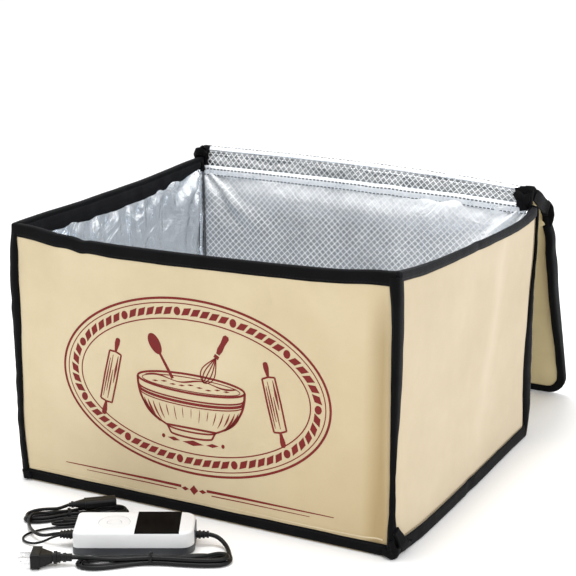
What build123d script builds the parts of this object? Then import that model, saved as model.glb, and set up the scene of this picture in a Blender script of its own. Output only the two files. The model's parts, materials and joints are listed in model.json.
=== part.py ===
from build123d import *
import math
import os

# Folding dough proofer: a soft insulated box that folds flat, a lid that folds over its back rim,
# a heating film in the floor, and a plug-in controller with its leads.
# Frame: +X right, -Y front, +Z up; origin at the middle of the underside. Millimetres.

# ---- driving dimensions -------------------------------------------------------------
W, D, H = 460.0, 400.0, 300.0      # outside width, depth, height of the open box
COVER = 1.0                         # woven cover
FOAM = 6.0                          # foil-faced foam
T = COVER + FOAM                    # wall
TAPE = 12.0                         # width of the edge tape
SIDE_AXIS_Y = 185.0                 # vertical fold axes of the side halves, at the inner face
CREASE_OUT = 8.5                    # the side crease axis, measured out from the inner face
FLOOR_AXIS_Y = 192.5                # fold axis of the floor at the back wall's foot
FLOOR_CREASE_DEPTH = 16.0           # the floor crease axis, measured down from the floor's top
FRONT_RELIEF = 6.5                  # the floor's front half ends this much short (open pivot)
FLOOR_HW = 221.5                    # floor half width at the walls
CREASE_Y = -1.0                     # where the two floor halves meet
LID_HW = 226.0                      # half width of the lid's panel
P0 = (199.0, 304.5)                 # lid: first fold axis (y, z), on the cream side
STRIP_A, STRIP_B, THIN, LID_L = 16.0, 48.0, 39.0, 333.0
A0, A1, A2 = 100.0, 187.0, 248.67   # directions at rest, from -Y towards +Z
STRIP_T = 4.0
LID_T = 8.0

ix, iy = W / 2 - T, D / 2 - T       # inner faces: 223, 193

os.makedirs("parts", exist_ok=True)
nodes = {}


def bx(x0, x1, y0, y1, z0, z1):
    return Pos((x0 + x1) / 2, (y0 + y1) / 2, (z0 + z1) / 2) * Box(abs(x1 - x0), abs(y1 - y0), abs(z1 - z0))


def prism(pts, z0, z1):
    face = make_face(Polyline(*[(x, y, z0) for x, y in pts], close=True))
    return extrude(face, amount=z1 - z0, dir=(0, 0, 1))


def solids(*parts):
    out = []
    for p in parts:
        out += list(p.solids())
    return Compound(children=out)


# ---- back and front walls ------------------------------------------------------------
def end_wall(s):
    """s = +1 back wall, -1 front wall. Returns cover, foam and tape."""
    yo, yi = s * D / 2, s * iy
    yc = s * (D / 2 - COVER)
    cover = bx(-W / 2 + TAPE, W / 2 - TAPE, yc, yo, TAPE, H - TAPE)
    strips = [bx(-W / 2, W / 2, yc, yo, H - TAPE, H), bx(-W / 2, W / 2, yc, yo, 0, TAPE),      # outer legs
              bx(-W / 2, -W / 2 + TAPE, yc, yo, TAPE, H - TAPE), bx(W / 2 - TAPE, W / 2, yc, yo, TAPE, H - TAPE),
              bx(-ix, ix, yi, yc, H - 1, H),                         # over the rim
              bx(-ix, ix, yi, yi + s, H - TAPE, H - 1),              # inner leg at the rim
              bx(-ix, ix, yi, yc, 0, 1)]                             # under the foot
    for q in (-1, 1):
        strips.append(bx(q * ix, q * W / 2, s * (SIDE_AXIS_Y + 0.5), yc, 0, H))   # piped corner post
    tape = solids(*strips)
    foam = bx(-ix, ix, yi, yc, 1, H - 1) - bx(-ix, ix, yi - s, yi + s, H - TAPE, H)
    return cover, foam, tape


bc, bf, bt = end_wall(1)
fc, ff, ft = end_wall(-1)

# power inlet low on the back wall, beside the floor's folded shape
INLET_X, INLET_Z = 196.0, 60.0
pocket = bx(INLET_X - 11, INLET_X + 11, iy - 1, D / 2 + 1, INLET_Z - 7, INLET_Z + 7)
bc -= pocket
bf -= pocket
inlet = bx(INLET_X - 10.5, INLET_X + 10.5, 186.0, D / 2, INLET_Z - 6.5, INLET_Z + 6.5)
flange = extrude(Pos(INLET_X, D / 2, INLET_Z) * Rot(-90, 0, 0) * RectangleRounded(34, 18, 5), amount=1.5)
inlet += flange
sock = Pos(INLET_X, D / 2 + 1.5, INLET_Z) * Rot(90, 0, 0) * SlotOverall(15.8, 8.2)
inlet -= extrude(sock, amount=13)
for q in (-1, 1):
    inlet += Pos(INLET_X + q * 4.0, D / 2 - 6.0, INLET_Z) * Rot(90, 0, 0) * Cylinder(1.2, 12)
nodes["back_cover"], nodes["back_insulation"], nodes["back_binding"] = bc, bf, bt
nodes["power_inlet"] = inlet
nodes["front_cover"], nodes["front_insulation"], nodes["front_binding"] = fc, ff, ft


# ---- side walls, each in two halves ---------------------------------------------------
def side_half(sx, sy):
    """sx = +1 right, -1 left; sy = +1 rear, -1 front."""
    y0, y1 = sy * 0.15, sy * SIDE_AXIS_Y
    xo, xi, xc = sx * W / 2, sx * ix, sx * (W / 2 - COVER)
    cover = bx(xc, xo, y0, y1, TAPE, H - TAPE)
    tape = solids(bx(xc, xo, y0, y1, H - TAPE, H), bx(xc, xo, y0, y1, 0, TAPE),
                  bx(xi, xc, y0, y1, H - 1, H), bx(xi, xc, y0, y1, 0, 1),
                  bx(xi, xi + sx, y0, y1, H - TAPE, H - 1))
    foam = bx(xi, xc, y0, y1, 1, H - 1) - bx(xi - sx, xi + sx, -W, W, H - TAPE, H)
    loop = bx(xi - sx * 1.0, xi, sy * 4, sy * 172, H - TAPE - 11, H - 3)
    return cover, foam, tape, loop


for name, sx, sy in (("right_rear", 1, 1), ("right_front", 1, -1), ("left_rear", -1, 1), ("left_front", -1, -1)):
    c, f, t, l = side_half(sx, sy)
    nodes[name + "_cover"], nodes[name + "_insulation"] = c, f
    nodes[name + "_binding"], nodes[name + "_loop_tape"] = t, l


# ---- floor: two halves and the soft gussets at its ends --------------------------------
def floor_half(s):
    ya = s * FLOOR_AXIS_Y if s > 0 else -(FLOOR_AXIS_Y - FRONT_RELIEF)
    yb = CREASE_Y + s * 0.15
    apex = FLOOR_HW - FLOOR_AXIS_Y
    wa, wb = apex + abs(ya), apex + abs(yb)

    def outline(inset):
        a = ya - s * inset
        b = yb + s * inset
        k = inset * 1.5
        return [(-wa + k, a), (wa - k, a), (wb - k, b), (-wb + k, b)]
    base = prism(outline(0), 0, 1)
    film = prism(outline(14), 1, 1.6)
    foam = prism(outline(0), 1, T) - film
    if s < 0:      # the free edge is bevelled, so that it clears the front wall's lining as the box folds
        wedge = make_face(Polyline((0, ya - 1, 3.7), (0, ya - 1, T + 1), (0, ya + 9.6, T + 1), (0, ya, 3.7), close=True))
        foam -= Pos(-W / 2, 0, 0) * extrude(wedge, amount=W, dir=(1, 0, 0))
    gus = []
    for q in (-1, 1):
        yg = ya - s * 3.0
        tri = [(q * (apex + abs(yg) + 0.8), yg), (q * FLOOR_HW, yg), (q * FLOOR_HW, yb), (q * (apex + abs(yb) + 2.5), yb)]
        gus.append(prism(tri, 0.6, 6.4))
    return base, foam, film, solids(*gus)


for name, s in (("rear", 1), ("front", -1)):
    b, f, h, g = floor_half(s)
    nodes["floor_%s_cover" % name], nodes["floor_%s_insulation" % name] = b, f
    nodes["heating_film_%s" % name], nodes["floor_%s_gussets" % name] = h, g


# ---- lid: two hinge strips over the back rim and one padded panel ----------------------
def dirn(a):
    a = math.radians(a)
    return (-math.cos(a), math.sin(a))


def walk(p, a, l):
    d = dirn(a)
    return (p[0] + d[0] * l, p[1] + d[1] * l)


P1 = walk(P0, A0, STRIP_A)
P2 = walk(P1, A1, STRIP_B)


def lid_plane(p, a):
    r = math.radians(a)
    return Plane(origin=(0, p[0], p[1]), x_dir=(1, 0, 0), z_dir=(0, math.sin(r), math.cos(r)))


def lb(x0, x1, u0, u1, v0, v1):
    return bx(x0, x1, -u0, -u1, v0, v1)


def tape_strip(hw, l):
    body = lb(-hw, hw, 0.2, l - 0.2, -STRIP_T, 0)
    return body


nodes["lid_riser_strip"] = lid_plane(P0, A0) * tape_strip(LID_HW, STRIP_A)
nodes["lid_arch_strip"] = lid_plane(P1, A1) * tape_strip(LID_HW, STRIP_B)

RC = 26.0   # rounded free corners


def panel(hw, u0, u1, v0, v1, r):
    sk = Pos(0, -(u0 + u1) / 2) * Rectangle(2 * hw, u1 - u0)
    sk = fillet(sk.vertices().group_by(Axis.Y)[0], r)
    return Pos(0, 0, v0) * extrude(sk, amount=v1 - v0, dir=(0, 0, 1))


full = panel(LID_HW + 1, THIN, LID_L, -4, 5, RC)
inner = panel(LID_HW - TAPE, THIN - 1, LID_L - TAPE, -6, 8, RC - 10)
lid_cover = panel(LID_HW - TAPE, THIN, LID_L - TAPE, 3, 4, RC - 10) + lb(-LID_HW + TAPE, LID_HW - TAPE, 0.2, THIN, -1, 0) + lb(-LID_HW + TAPE, LID_HW - TAPE, THIN, THIN + 1, -1, 4)
core = panel(LID_HW, THIN, LID_L - 1, -4, 3, RC - 1)
ring = (panel(LID_HW + 1, THIN, LID_L, -4, 5, RC) - inner)
ring -= panel(LID_HW, THIN - 1, LID_L - 1, -4.5, 3, RC - 1)
thin_edge = lb(LID_HW - TAPE, LID_HW, 0.2, THIN, -STRIP_T, 0) + lb(-LID_HW, -LID_HW + TAPE, 0.2, THIN, -STRIP_T, 0)
lid_foam = core + lb(-LID_HW + TAPE, LID_HW - TAPE, 0.2, THIN, -STRIP_T, -1)
lid_foam -= lid_cover
ring -= lid_cover
PL = lid_plane(P2, A2)
nodes["lid_cover"] = PL * lid_cover
nodes["lid_insulation"] = PL * lid_foam
nodes["lid_binding"] = PL * (ring + thin_edge)

# ---- accessory set: lies flat on the same surface, in front of the box -------------------
GX, GY, GROT = -96.0, -407.5, 27.88
_c, _s = math.cos(math.radians(GROT)), math.sin(math.radians(GROT))
GP = Pos(GX, GY, 0) * Rot(0, 0, GROT)


def g3(p):
    return Vector(GX + _c * p[0] - _s * p[1], GY + _s * p[0] + _c * p[1], p[2])


# controller case
CX0, CX1, CY0, CY1, CH = 59.2, 183.9, 38.2, 93.8, 25.0
cx, cyc = (CX0 + CX1) / 2, (CY0 + CY1) / 2


def case_sketch(inset, r0, r1):
    sk = Pos(cx, cyc) * Rectangle(CX1 - CX0 - 2 * inset, CY1 - CY0 - 2 * inset)
    left = sk.vertices().group_by(Axis.X)[0]
    sk = fillet(left, r0)
    right = sk.vertices().group_by(Axis.X)[-1]
    return fillet(right, r1)


def case_block(inset, z0, z1, r0, r1):
    return Pos(0, 0, z0) * extrude(case_sketch(inset, r0, r1), amount=z1 - z0, dir=(0, 0, 1))


SPLIT = 8.0
low = case_block(0, 0, SPLIT, 6, 14)
low = fillet(low.edges().group_by(Axis.Z)[0], 1.5)
low -= case_block(2, 2, SPLIT + 1, 4, 12)
low += case_block(2.45, SPLIT - 0.01, SPLIT + 1.2, 3.9, 11.9) - case_block(3.2, SPLIT - 2, SPLIT + 2, 2.8, 10.8)
low += case_block(1.9, SPLIT - 2.0, SPLIT, 4.1, 12.1) - case_block(3.2, SPLIT - 3, SPLIT + 2, 2.8, 10.8)
top = case_block(0.5, SPLIT + 0.1, CH, 5.5, 13.5)
top = fillet(top.edges().group_by(Axis.Z)[-1], 3.0)
top -= case_block(2.3, SPLIT - 1, CH - 2.4, 3.7, 11.7)
SCR = [(CX0 + 10, CY0 + 10), (CX0 + 10, CY1 - 10), (CX1 - 14, CY0 + 14), (CX1 - 14, CY1 - 14)]
for x, y in SCR:
    top += Pos(x, y, (12 + CH - 2.2) / 2) * Cylinder(3.4, CH - 2.2 - 12)
    top -= Pos(x, y, 16) * Cylinder(1.25, 10)
    low += Pos(x, y, (1 + 11.8) / 2) * Cylinder(3.4, 10.8)
    low -= Pos(x, y, 8) * Cylinder(1.7, 20)
    low -= Pos(x, y, 1.5) * Cylinder(2.9, 5)

# display window set into a step of the top shell
WX0, WX1 = 122.9, 168.4
window = bx(WX0, WX1, CY0 + 0.8, CY1 - 0.8, CH - 1.4, CH - 0.1)
top -= bx(WX0 - 0.1, WX1 + 0.1, CY0 - 1, CY1 + 1, CH - 1.4, CH + 1)
top -= bx(WX0 + 6, WX1 - 6, CY0 + 8, CY1 - 8, CH - 5, CH)

# press ring and centre button
RX, RY = 100.2, 65.6
R_OUT, R_MID, R_BTN = 16.2, 7.45, 7.2
TRAVEL = 0.8
top -= Pos(RX, RY, CH) * Cylinder(R_OUT + 0.25, 12)
ring_key = Pos(RX, RY, CH - 1.15) * Cylinder(R_OUT, 2.3) - Pos(RX, RY, CH - 1) * Cylinder(R_MID, 10)
ring_key = fillet(ring_key.edges().filter_by(GeomType.CIRCLE).group_by(Axis.Z)[-1], 0.4)
btn = Pos(RX, RY, CH - 1.15) * Cylinder(R_BTN, 2.3)
btn = fillet(btn.edges().filter_by(GeomType.CIRCLE).group_by(Axis.Z)[-1], 0.5)
btn -= Pos(RX, RY, CH) * (Cylinder(5.25, 0.5) - Cylinder(4.85, 0.6))      # fine ring groove in the button's face
# four short feet under the ring and a stem under the button reach the dome switches
BOARD_Z = 12.4
DOME_H = 1.2
key_gap = TRAVEL + 0.1
for k in range(4):
    a = math.radians(45 + 90 * k)
    x, y = RX + 12 * math.cos(a), RY + 12 * math.sin(a)
    ring_key += Pos(x, y, (CH - 2.2 + BOARD_Z + 1.6 + DOME_H + key_gap) / 2) * Cylinder(1.5, CH - 2.2 - (BOARD_Z + 1.6 + DOME_H + key_gap))
btn += Pos(RX, RY, (CH - 2.2 + BOARD_Z + 1.6 + DOME_H + key_gap) / 2) * Cylinder(1.5, CH - 2.2 - (BOARD_Z + 1.6 + DOME_H + key_gap))
board = bx(CX0 + 15, CX1 - 18, CY0 + 4, CY1 - 4, BOARD_Z, BOARD_Z + 1.6)
board += bx(WX0 + 2, WX1 - 2, CY0 + 10, CY1 - 10, BOARD_Z + 1.5, BOARD_Z + 5)      # display module
domes = [Pos(RX, RY, BOARD_Z + 1.6 + DOME_H / 2) * Cylinder(2.2, DOME_H)]
for k in range(4):
    a = math.radians(45 + 90 * k)
    domes.append(Pos(RX + 12 * math.cos(a), RY + 12 * math.sin(a), BOARD_Z + 1.6 + DOME_H / 2) * Cylinder(2.2, DOME_H))
relay = bx(CX1 - 52, CX1 - 33, cyc - 7.5, cyc + 7.5, 2.6, BOARD_Z)
screws = []
for x, y in SCR:
    sc = Pos(x, y, 3.05) * Cylinder(2.7, 1.8) + Pos(x, y, 9.4) * Cylinder(1.25, 12)
    screws.append(sc)

# latch clip on the mains end
latch = prism([(CX1 - 3.6, 55.5), (CX1 + 0.4, 52.7), (CX1 + 0.4, 79.2), (CX1 - 3.6, 76.4)], 9.5, 22.0)
top -= prism([(CX1 - 3.7, 55.4), (CX1 + 2, 51.6), (CX1 + 2, 80.3), (CX1 - 3.7, 76.5)], SPLIT - 1, 22.1)


# strain reliefs: ribbed, tapered, with a collar inside the case wall
def relief(x0, x1, y, z, r0, r1, n, wide):
    """from the case wall x0 to the free end x1; wide stretches it along y."""
    sgn = 1 if x1 > x0 else -1
    L = abs(x1 - x0)
    body = None
    for i in range(n):
        a = i / n
        b = (i + 1) / n
        r = r0 + (r1 - r0) * (a + b) / 2
        xa, xb = x0 + sgn * L * a, x0 + sgn * L * b
        rr = r if i % 2 == 0 else r - 0.9
        sk = Plane(origin=(min(xa, xb), y, z), x_dir=(0, 1, 0), z_dir=(1, 0, 0)) * SlotOverall(2 * rr + wide, 2 * rr) if wide else Plane(origin=(min(xa, xb), y, z), x_dir=(0, 1, 0), z_dir=(1, 0, 0)) * Circle(rr)
        seg = extrude(sk, amount=abs(xb - xa) + (0.01 if sgn > 0 else 0))
        body = seg if body is None else body + seg
    return body


RZ = 11.5
lead_relief = relief(CX0 - 0.3, 43.7, 65.4, RZ, 4.6, 3.0, 9, 4.6)
collar = extrude(Plane(origin=(CX0 - 0.2, 65.4, RZ), x_dir=(0, 1, 0), z_dir=(1, 0, 0)) * SlotOverall(16, 8.4), amount=5.2)
lead_relief += collar
mains_relief = relief(CX1 - 1.0, 197.6, 65.0, RZ, 4.8, 3.6, 7, 0)
mains_relief += extrude(Plane(origin=(CX1 - 5.6, 65.0, RZ), x_dir=(0, 1, 0), z_dir=(1, 0, 0)) * Circle(3.7), amount=5.2)
cut_lead = extrude(Plane(origin=(CX0 - 4, 65.4, RZ), x_dir=(0, 1, 0), z_dir=(1, 0, 0)) * SlotOverall(16.4, 8.8), amount=9)
cut_mains = extrude(Plane(origin=(CX1 - 6.2, 65.0, RZ), x_dir=(0, 1, 0), z_dir=(1, 0, 0)) * Circle(5.1), amount=8)
low -= cut_lead + cut_mains
top -= cut_lead + cut_mains
latch -= cut_mains

for n, p in (("case_bottom", low), ("case_top", top), ("display_window", window), ("control_ring", ring_key),
             ("centre_button", btn), ("circuit_board", board), ("power_relay", relay), ("latch_clip", latch),
             ("lead_relief", lead_relief), ("mains_relief", mains_relief)):
    nodes[n] = GP * p
nodes["dome_switches"] = solids(*[GP * d for d in domes])
nodes["case_screws"] = solids(*[GP * s for s in screws])

# plug: head, waist, ribbed tail, and two blades
PLX, PLY, PLZ = 61.9, 16.5, 8.2
plug = bx(21.9, 31.0, 3.0, 28.4, 0.3, 16.1)
plug = fillet(plug.edges().filter_by(Axis.X), 3.0)
taper = loft([Plane(origin=(30.5, 15.7, PLZ), x_dir=(0, 1, 0), z_dir=(1, 0, 0)) * RectangleRounded(22, 14, 3),
              Plane(origin=(42.5, 16.2, PLZ), x_dir=(0, 1, 0), z_dir=(1, 0, 0)) * RectangleRounded(11, 9.6, 3)])
plug += taper
plug += Plane(origin=(45.5, 16.3, PLZ), x_dir=(0, 1, 0), z_dir=(1, 0, 0)) * Cylinder(6.6, 3.0)
plug += extrude(Plane(origin=(42.0, 16.2, PLZ), x_dir=(0, 1, 0), z_dir=(1, 0, 0)) * Circle(4.4), amount=6)
for i in range(5):
    x0 = 47.5 + i * 2.9
    plug += extrude(Plane(origin=(x0, 16.4, PLZ), x_dir=(0, 1, 0), z_dir=(1, 0, 0)) * Circle(5.4 - 0.35 * i if i % 2 == 0 else 3.9), amount=2.91)
blades = []
for q in (-1, 1):
    b = bx(8.9, 26.0, 15.7 + q * 6.35 - 0.75, 15.7 + q * 6.35 + 0.75, PLZ - 3.15, PLZ + 3.15)
    b -= Pos(12.5, 15.7 + q * 6.35, PLZ) * Rot(90, 0, 0) * Cylinder(1.5, 6)
    blades.append(b)
    plug -= bx(21.0, 26.0, 15.7 + q * 6.35 - 0.75, 15.7 + q * 6.35 + 0.75, PLZ - 3.15, PLZ + 3.15)
nodes["plug_body"] = GP * plug
nodes["plug_blades"] = solids(*[GP * b for b in blades])

# heater connector, on top of its hank
HOFF = (-25.0, -6.0)
CONX, CONY, CONZ, CONA = 67.9 + HOFF[0], 144.5 + HOFF[1], 13.2, 13.5     # tail end
loc = Pos(CONX, CONY, CONZ) * Rot(0, 0, CONA)
con = bx(17.0, 50.5, -7.8, 7.8, -4.6, 4.6)
con = fillet(con.edges().filter_by(Axis.X), 3.6)
con += loft([Plane(origin=(17.5, 0, 0), x_dir=(0, 1, 0), z_dir=(1, 0, 0)) * RectangleRounded(13.5, 8.0, 3),
             Plane(origin=(9.0, 0, 0), x_dir=(0, 1, 0), z_dir=(1, 0, 0)) * RectangleRounded(8.0, 6.4, 2.5)])
for i in range(4):
    con += extrude(Plane(origin=(0.0 + i * 2.4, 0, 0), x_dir=(0, 1, 0), z_dir=(1, 0, 0)) * Circle(2.5 + 0.3 * i if i % 2 == 0 else 3.6), amount=2.41)
for q in (-1, 1):
    con -= Plane(origin=(50.5 - 5, q * 4.0, 0), x_dir=(0, 1, 0), z_dir=(1, 0, 0)) * Cylinder(1.35, 12)
nodes["heater_connector"] = GP * loc * con

# temperature probe: steel rod through the neck of a suction cup
CUPX, CUPY, CUPA, RODZ = 138.0, 109.2, 10.0, 8.6
bell_profile = Polyline((0, 2.2), (4.0, 2.2), (11.8, 0.0), (12.0, 0.0), (12.0, 1.0), (5.2, 5.2), (4.4, 6.2), (4.4, 12.4), (3.4, 13.2), (0, 13.2), close=True)
cup = revolve(Plane.XZ * make_face(bell_profile), axis=Axis.Z)
cup -= Pos(0, 0, RODZ) * Rot(0, 90, 0) * Cylinder(2.02, 30)
cloc = Pos(CUPX, CUPY, 0) * Rot(0, 0, CUPA)
rod = Pos(18.5, 0, RODZ) * Rot(0, 90, 0) * Cylinder(2.0, 49)
rod = fillet(rod.edges().group_by(Axis.X)[-1], 1.2)
nodes["suction_cup"] = GP * cloc * cup
nodes["probe_rod"] = GP * cloc * rod

# ---- cords --------------------------------------------------------------------------
MAINS_D, HEATER_D, PROBE_D = 4.6, 3.6, 2.6


def tube(points, d, name):
    """straight runs joined by tangent arcs as large as the runs allow"""
    P = [g3(p) for p in points]
    radii = []
    for a, b, c in zip(P, P[1:], P[2:]):
        u, v = b - a, c - b
        turn = math.radians(u.get_angle(v))
        radii.append(0.45 * min(u.length, v.length) / math.tan(turn / 2))
    path = FilletPolyline(*P, radius=radii)
    body = sweep(Plane(origin=path @ 0, z_dir=path % 0) * Circle(d / 2), path=path)
    print(name, "length", round(path.length, 1), "volume ratio", round(body.volume / (math.pi * d * d / 4 * path.length), 4),
          "radii", [round(r, 1) for r in radii])
    return body


def run(a, b, d):
    A, B = g3(a), g3(b)
    return Plane(origin=A, z_dir=B - A) * Pos(0, 0, (B - A).length / 2) * Cylinder(d / 2, (B - A).length)


mains_route = [(197.6, 65.0, 11.5), (204.5, 63.9, 10.6), (211.0, 59.6, 7.6), (216.0, 52.5, 4.6), (218.6, 44.0, 3.0), (218.2, 34.5, 2.9)]
heater_route = [(43.7, 67.6, 11.5), (36.5, 68.0, 10.6), (28.5, 70.6, 8.0), (20.5, 75.6, 6.0), (13.8, 83.2, 5.8), (9.2, 92.5, 5.0), (5.6, 102.5, 3.2), (3.6, 112.5, 2.3)]
probe_route = [(43.7, 63.1, 11.5), (36.0, 62.2, 9.8), (27.5, 61.3, 5.6), (18.0, 61.9, 2.6), (9.0, 65.8, 1.9), (3.0, 73.0, 1.7), (2.2, 82.0, 1.6), (7.0, 90.6, 1.7), (15.5, 97.4, 1.7), (26.5, 102.8, 1.9), (38.5, 106.6, 2.6)]

mains_hank = [(64, 10), (66, 20), (75, 28), (90, 31.5), (110, 30.5), (128, 27.5), (141, 26.4), (160, 30), (185, 36), (205, 36.4), (219, 32), (224, 22), (221, 11),
              (210, 8), (190, 8.5), (165, 12), (141, 14.5), (120, 9), (100, 2.5), (85, 0.6), (72, 2.5)]
heater_hank = [(18.2, 131), (20, 144), (31, 150), (49, 149.5), (62, 148), (68, 149.5), (80, 155.5), (93, 162), (107, 167.5), (120, 167.5), (131, 160), (134.5, 151), (131, 144),
               (122, 139), (107, 136.5), (89, 138), (75, 140.5), (68, 137), (57, 132), (44, 124.5), (30, 122), (20.5, 125.5)]
heater_hank = [(x + HOFF[0], y + HOFF[1]) for x, y in heater_hank]
probe_hank = [(28.5, 112), (31, 116.5), (39, 120), (55, 121.5), (75, 119.8), (86, 122), (100, 128.5), (111, 131.5), (119.5, 128), (125.6, 119), (124.5, 110),
              (117, 105.5), (104, 105.0), (91, 108), (78, 112), (60, 111), (46, 107.0), (35, 107.5)]


def hank(pts, h):
    return GP * prism(pts, 0.1, h)


nodes["mains_cord"] = solids(tube(mains_route, MAINS_D, "mains_cord"), run((61.9, 16.4, PLZ), (72.5, 19.5, 5.4), MAINS_D))
nodes["heater_lead"] = solids(tube(heater_route, HEATER_D, "heater_lead"), run((CONX, CONY, CONZ), (CONX - 12.0, CONY - 3.6, 7.0), HEATER_D))
nodes["probe_lead"] = solids(tube(probe_route, PROBE_D, "probe_lead"), run((CUPX - 6.0 * math.cos(math.radians(CUPA)), CUPY - 6.0 * math.sin(math.radians(CUPA)), RODZ), (118.0, 107.8, 4.6), PROBE_D))
nodes["mains_hank"] = hank(mains_hank, 12.0)
nodes["heater_hank"] = hank(heater_hank, 8.4)
nodes["probe_hank"] = hank(probe_hank, 7.0)


def tie(x, y, a, w, h):
    """a flat twist tie round the waist of a hank"""
    body = bx(-1.6, 1.6, -w / 2, w / 2, 0.0, h)
    return GP * Pos(x, y, 0) * Rot(0, 0, a) * body


ties = [tie(141, 20.5, 0, 14.5, 13.0), tie(68 + HOFF[0], 143 + HOFF[1], 10, 13.5, 9.4), tie(78, 115.9, -4, 9.6, 8.0)]
nodes["cord_ties"] = solids(ties[0] - nodes["mains_hank"], ties[1] - nodes["heater_hank"], ties[2] - nodes["probe_hank"])

for name, part in nodes.items():
    export_step(part if isinstance(part, Compound) else Compound(children=list(part.solids())), "parts/%s.step" % name)
print(len(nodes), "nodes")
print("P1", P1, "P2", P2)
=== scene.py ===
import bpy
import json
import math
import numpy as np
from mathutils import Vector, Matrix

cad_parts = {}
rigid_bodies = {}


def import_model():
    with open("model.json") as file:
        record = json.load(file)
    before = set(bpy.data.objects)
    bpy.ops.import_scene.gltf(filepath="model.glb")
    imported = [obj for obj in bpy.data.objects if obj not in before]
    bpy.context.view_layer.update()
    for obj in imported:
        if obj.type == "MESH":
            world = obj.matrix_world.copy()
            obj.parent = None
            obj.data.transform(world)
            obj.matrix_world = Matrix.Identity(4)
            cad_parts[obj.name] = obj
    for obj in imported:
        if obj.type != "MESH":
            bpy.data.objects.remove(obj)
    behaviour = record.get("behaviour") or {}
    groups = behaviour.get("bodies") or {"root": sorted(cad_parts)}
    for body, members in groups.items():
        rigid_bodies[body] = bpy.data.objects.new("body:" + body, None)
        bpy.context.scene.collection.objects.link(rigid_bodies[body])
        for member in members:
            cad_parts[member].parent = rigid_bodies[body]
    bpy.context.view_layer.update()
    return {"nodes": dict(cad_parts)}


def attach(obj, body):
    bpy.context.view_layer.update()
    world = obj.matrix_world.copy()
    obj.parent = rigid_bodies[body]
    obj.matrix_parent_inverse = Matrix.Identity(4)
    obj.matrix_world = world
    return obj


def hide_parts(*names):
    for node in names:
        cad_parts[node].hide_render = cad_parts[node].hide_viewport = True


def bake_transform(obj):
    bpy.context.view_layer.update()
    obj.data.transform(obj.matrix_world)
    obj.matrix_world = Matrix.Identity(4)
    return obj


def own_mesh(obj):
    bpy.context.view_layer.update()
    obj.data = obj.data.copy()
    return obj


# Folding dough proofer: soft insulated box, lid over the back rim, controller with three leads. Metres.

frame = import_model()
SC = bpy.context.scene
COL = SC.collection
TAU = 2 * math.pi


# ---------------------------------------------------------------- camera, light, stage
cam_data = bpy.data.cameras.new("camera")
cam = bpy.data.objects.new("camera", cam_data)
COL.objects.link(cam)
cam.location = (0.8242, -1.5488, 0.6843)
cam.rotation_euler = (math.radians(90 - 15.187), 0, math.radians(27.884))
cam_data.lens = 98.2
cam_data.sensor_width = 36
cam_data.clip_end = 60
SC.camera = cam

SC.view_settings.view_transform = "Standard"
SC.view_settings.look = "None"
SC.view_settings.exposure = 0.0

world = bpy.data.worlds.new("studio")
SC.world = world
world.use_nodes = True
bg = world.node_tree.nodes["Background"]
bg.inputs[0].default_value = (1.0, 1.0, 1.0, 1)
bg.inputs[1].default_value = 1.08


def area(name, loc, target, size, power, color=(1, 1, 1)):
    ld = bpy.data.lights.new(name, "AREA")
    ld.shape = "RECTANGLE"
    ld.size, ld.size_y = size
    ld.energy = power
    ld.color = color
    ob = bpy.data.objects.new(name, ld)
    COL.objects.link(ob)
    ob.location = loc
    ob.rotation_euler = (Vector(target) - Vector(loc)).to_track_quat("-Z", "Y").to_euler()
    return ob


area("key", (1.9, -1.1, 1.9), (0.1, 0, 0.15), (1.4, 1.4), 17)
area("fill", (-1.6, -1.9, 1.3), (0, 0, 0.15), (1.6, 1.2), 3)
area("top", (-0.2, 0.1, 2.1), (0, 0.1, 0.1), (1.0, 0.7), 25)


# ---------------------------------------------------------------- noise
def _h(ix, iy, seed):
    n = np.sin(ix * 127.1 + iy * 311.7 + seed * 74.7) * 43758.5453
    return n - np.floor(n)


def vnoise(x, y, seed=0):
    x, y = np.broadcast_arrays(np.asarray(x, float), np.asarray(y, float))
    xi, yi = np.floor(x), np.floor(y)
    fx, fy = x - xi, y - yi
    fx = fx * fx * (3 - 2 * fx)
    fy = fy * fy * (3 - 2 * fy)
    a, b = _h(xi, yi, seed), _h(xi + 1, yi, seed)
    c, d = _h(xi, yi + 1, seed), _h(xi + 1, yi + 1, seed)
    return ((a * (1 - fx) + b * fx) * (1 - fy) + (c * (1 - fx) + d * fx) * fy) * 2 - 1


def fbm(x, y, seed=0, octaves=3):
    v, amp, f = 0, 1.0, 1.0
    for k in range(octaves):
        v = v + amp * vnoise(np.asarray(x) * f, np.asarray(y) * f, seed + k * 7)
        amp *= 0.5
        f *= 2.03
    return v


def bump01(t, c, w):
    return np.exp(-((np.asarray(t, float) - c) / w) ** 2)


# ---------------------------------------------------------------- mesh helpers
def make_object(name, verts, faces, uv=None, mats=(), mat_index=None, smooth=True):
    me = bpy.data.meshes.new(name)
    me.from_pydata([tuple(map(float, v)) for v in verts], [], [tuple(int(i) for i in f) for f in faces])
    if uv is not None:
        layer = me.uv_layers.new(name="UVMap")
        loops = np.zeros(len(me.loops), np.int32)
        me.loops.foreach_get("vertex_index", loops)
        layer.data.foreach_set("uv", np.asarray(uv, np.float32)[loops].ravel())
    for m in mats:
        me.materials.append(m)
    if mat_index is not None:
        me.polygons.foreach_set("material_index", np.asarray(mat_index, np.int32))
    me.polygons.foreach_set("use_smooth", [smooth] * len(me.polygons))
    me.update()
    me.validate()
    ob = bpy.data.objects.new(name, me)
    COL.objects.link(ob)
    return ob


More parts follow.
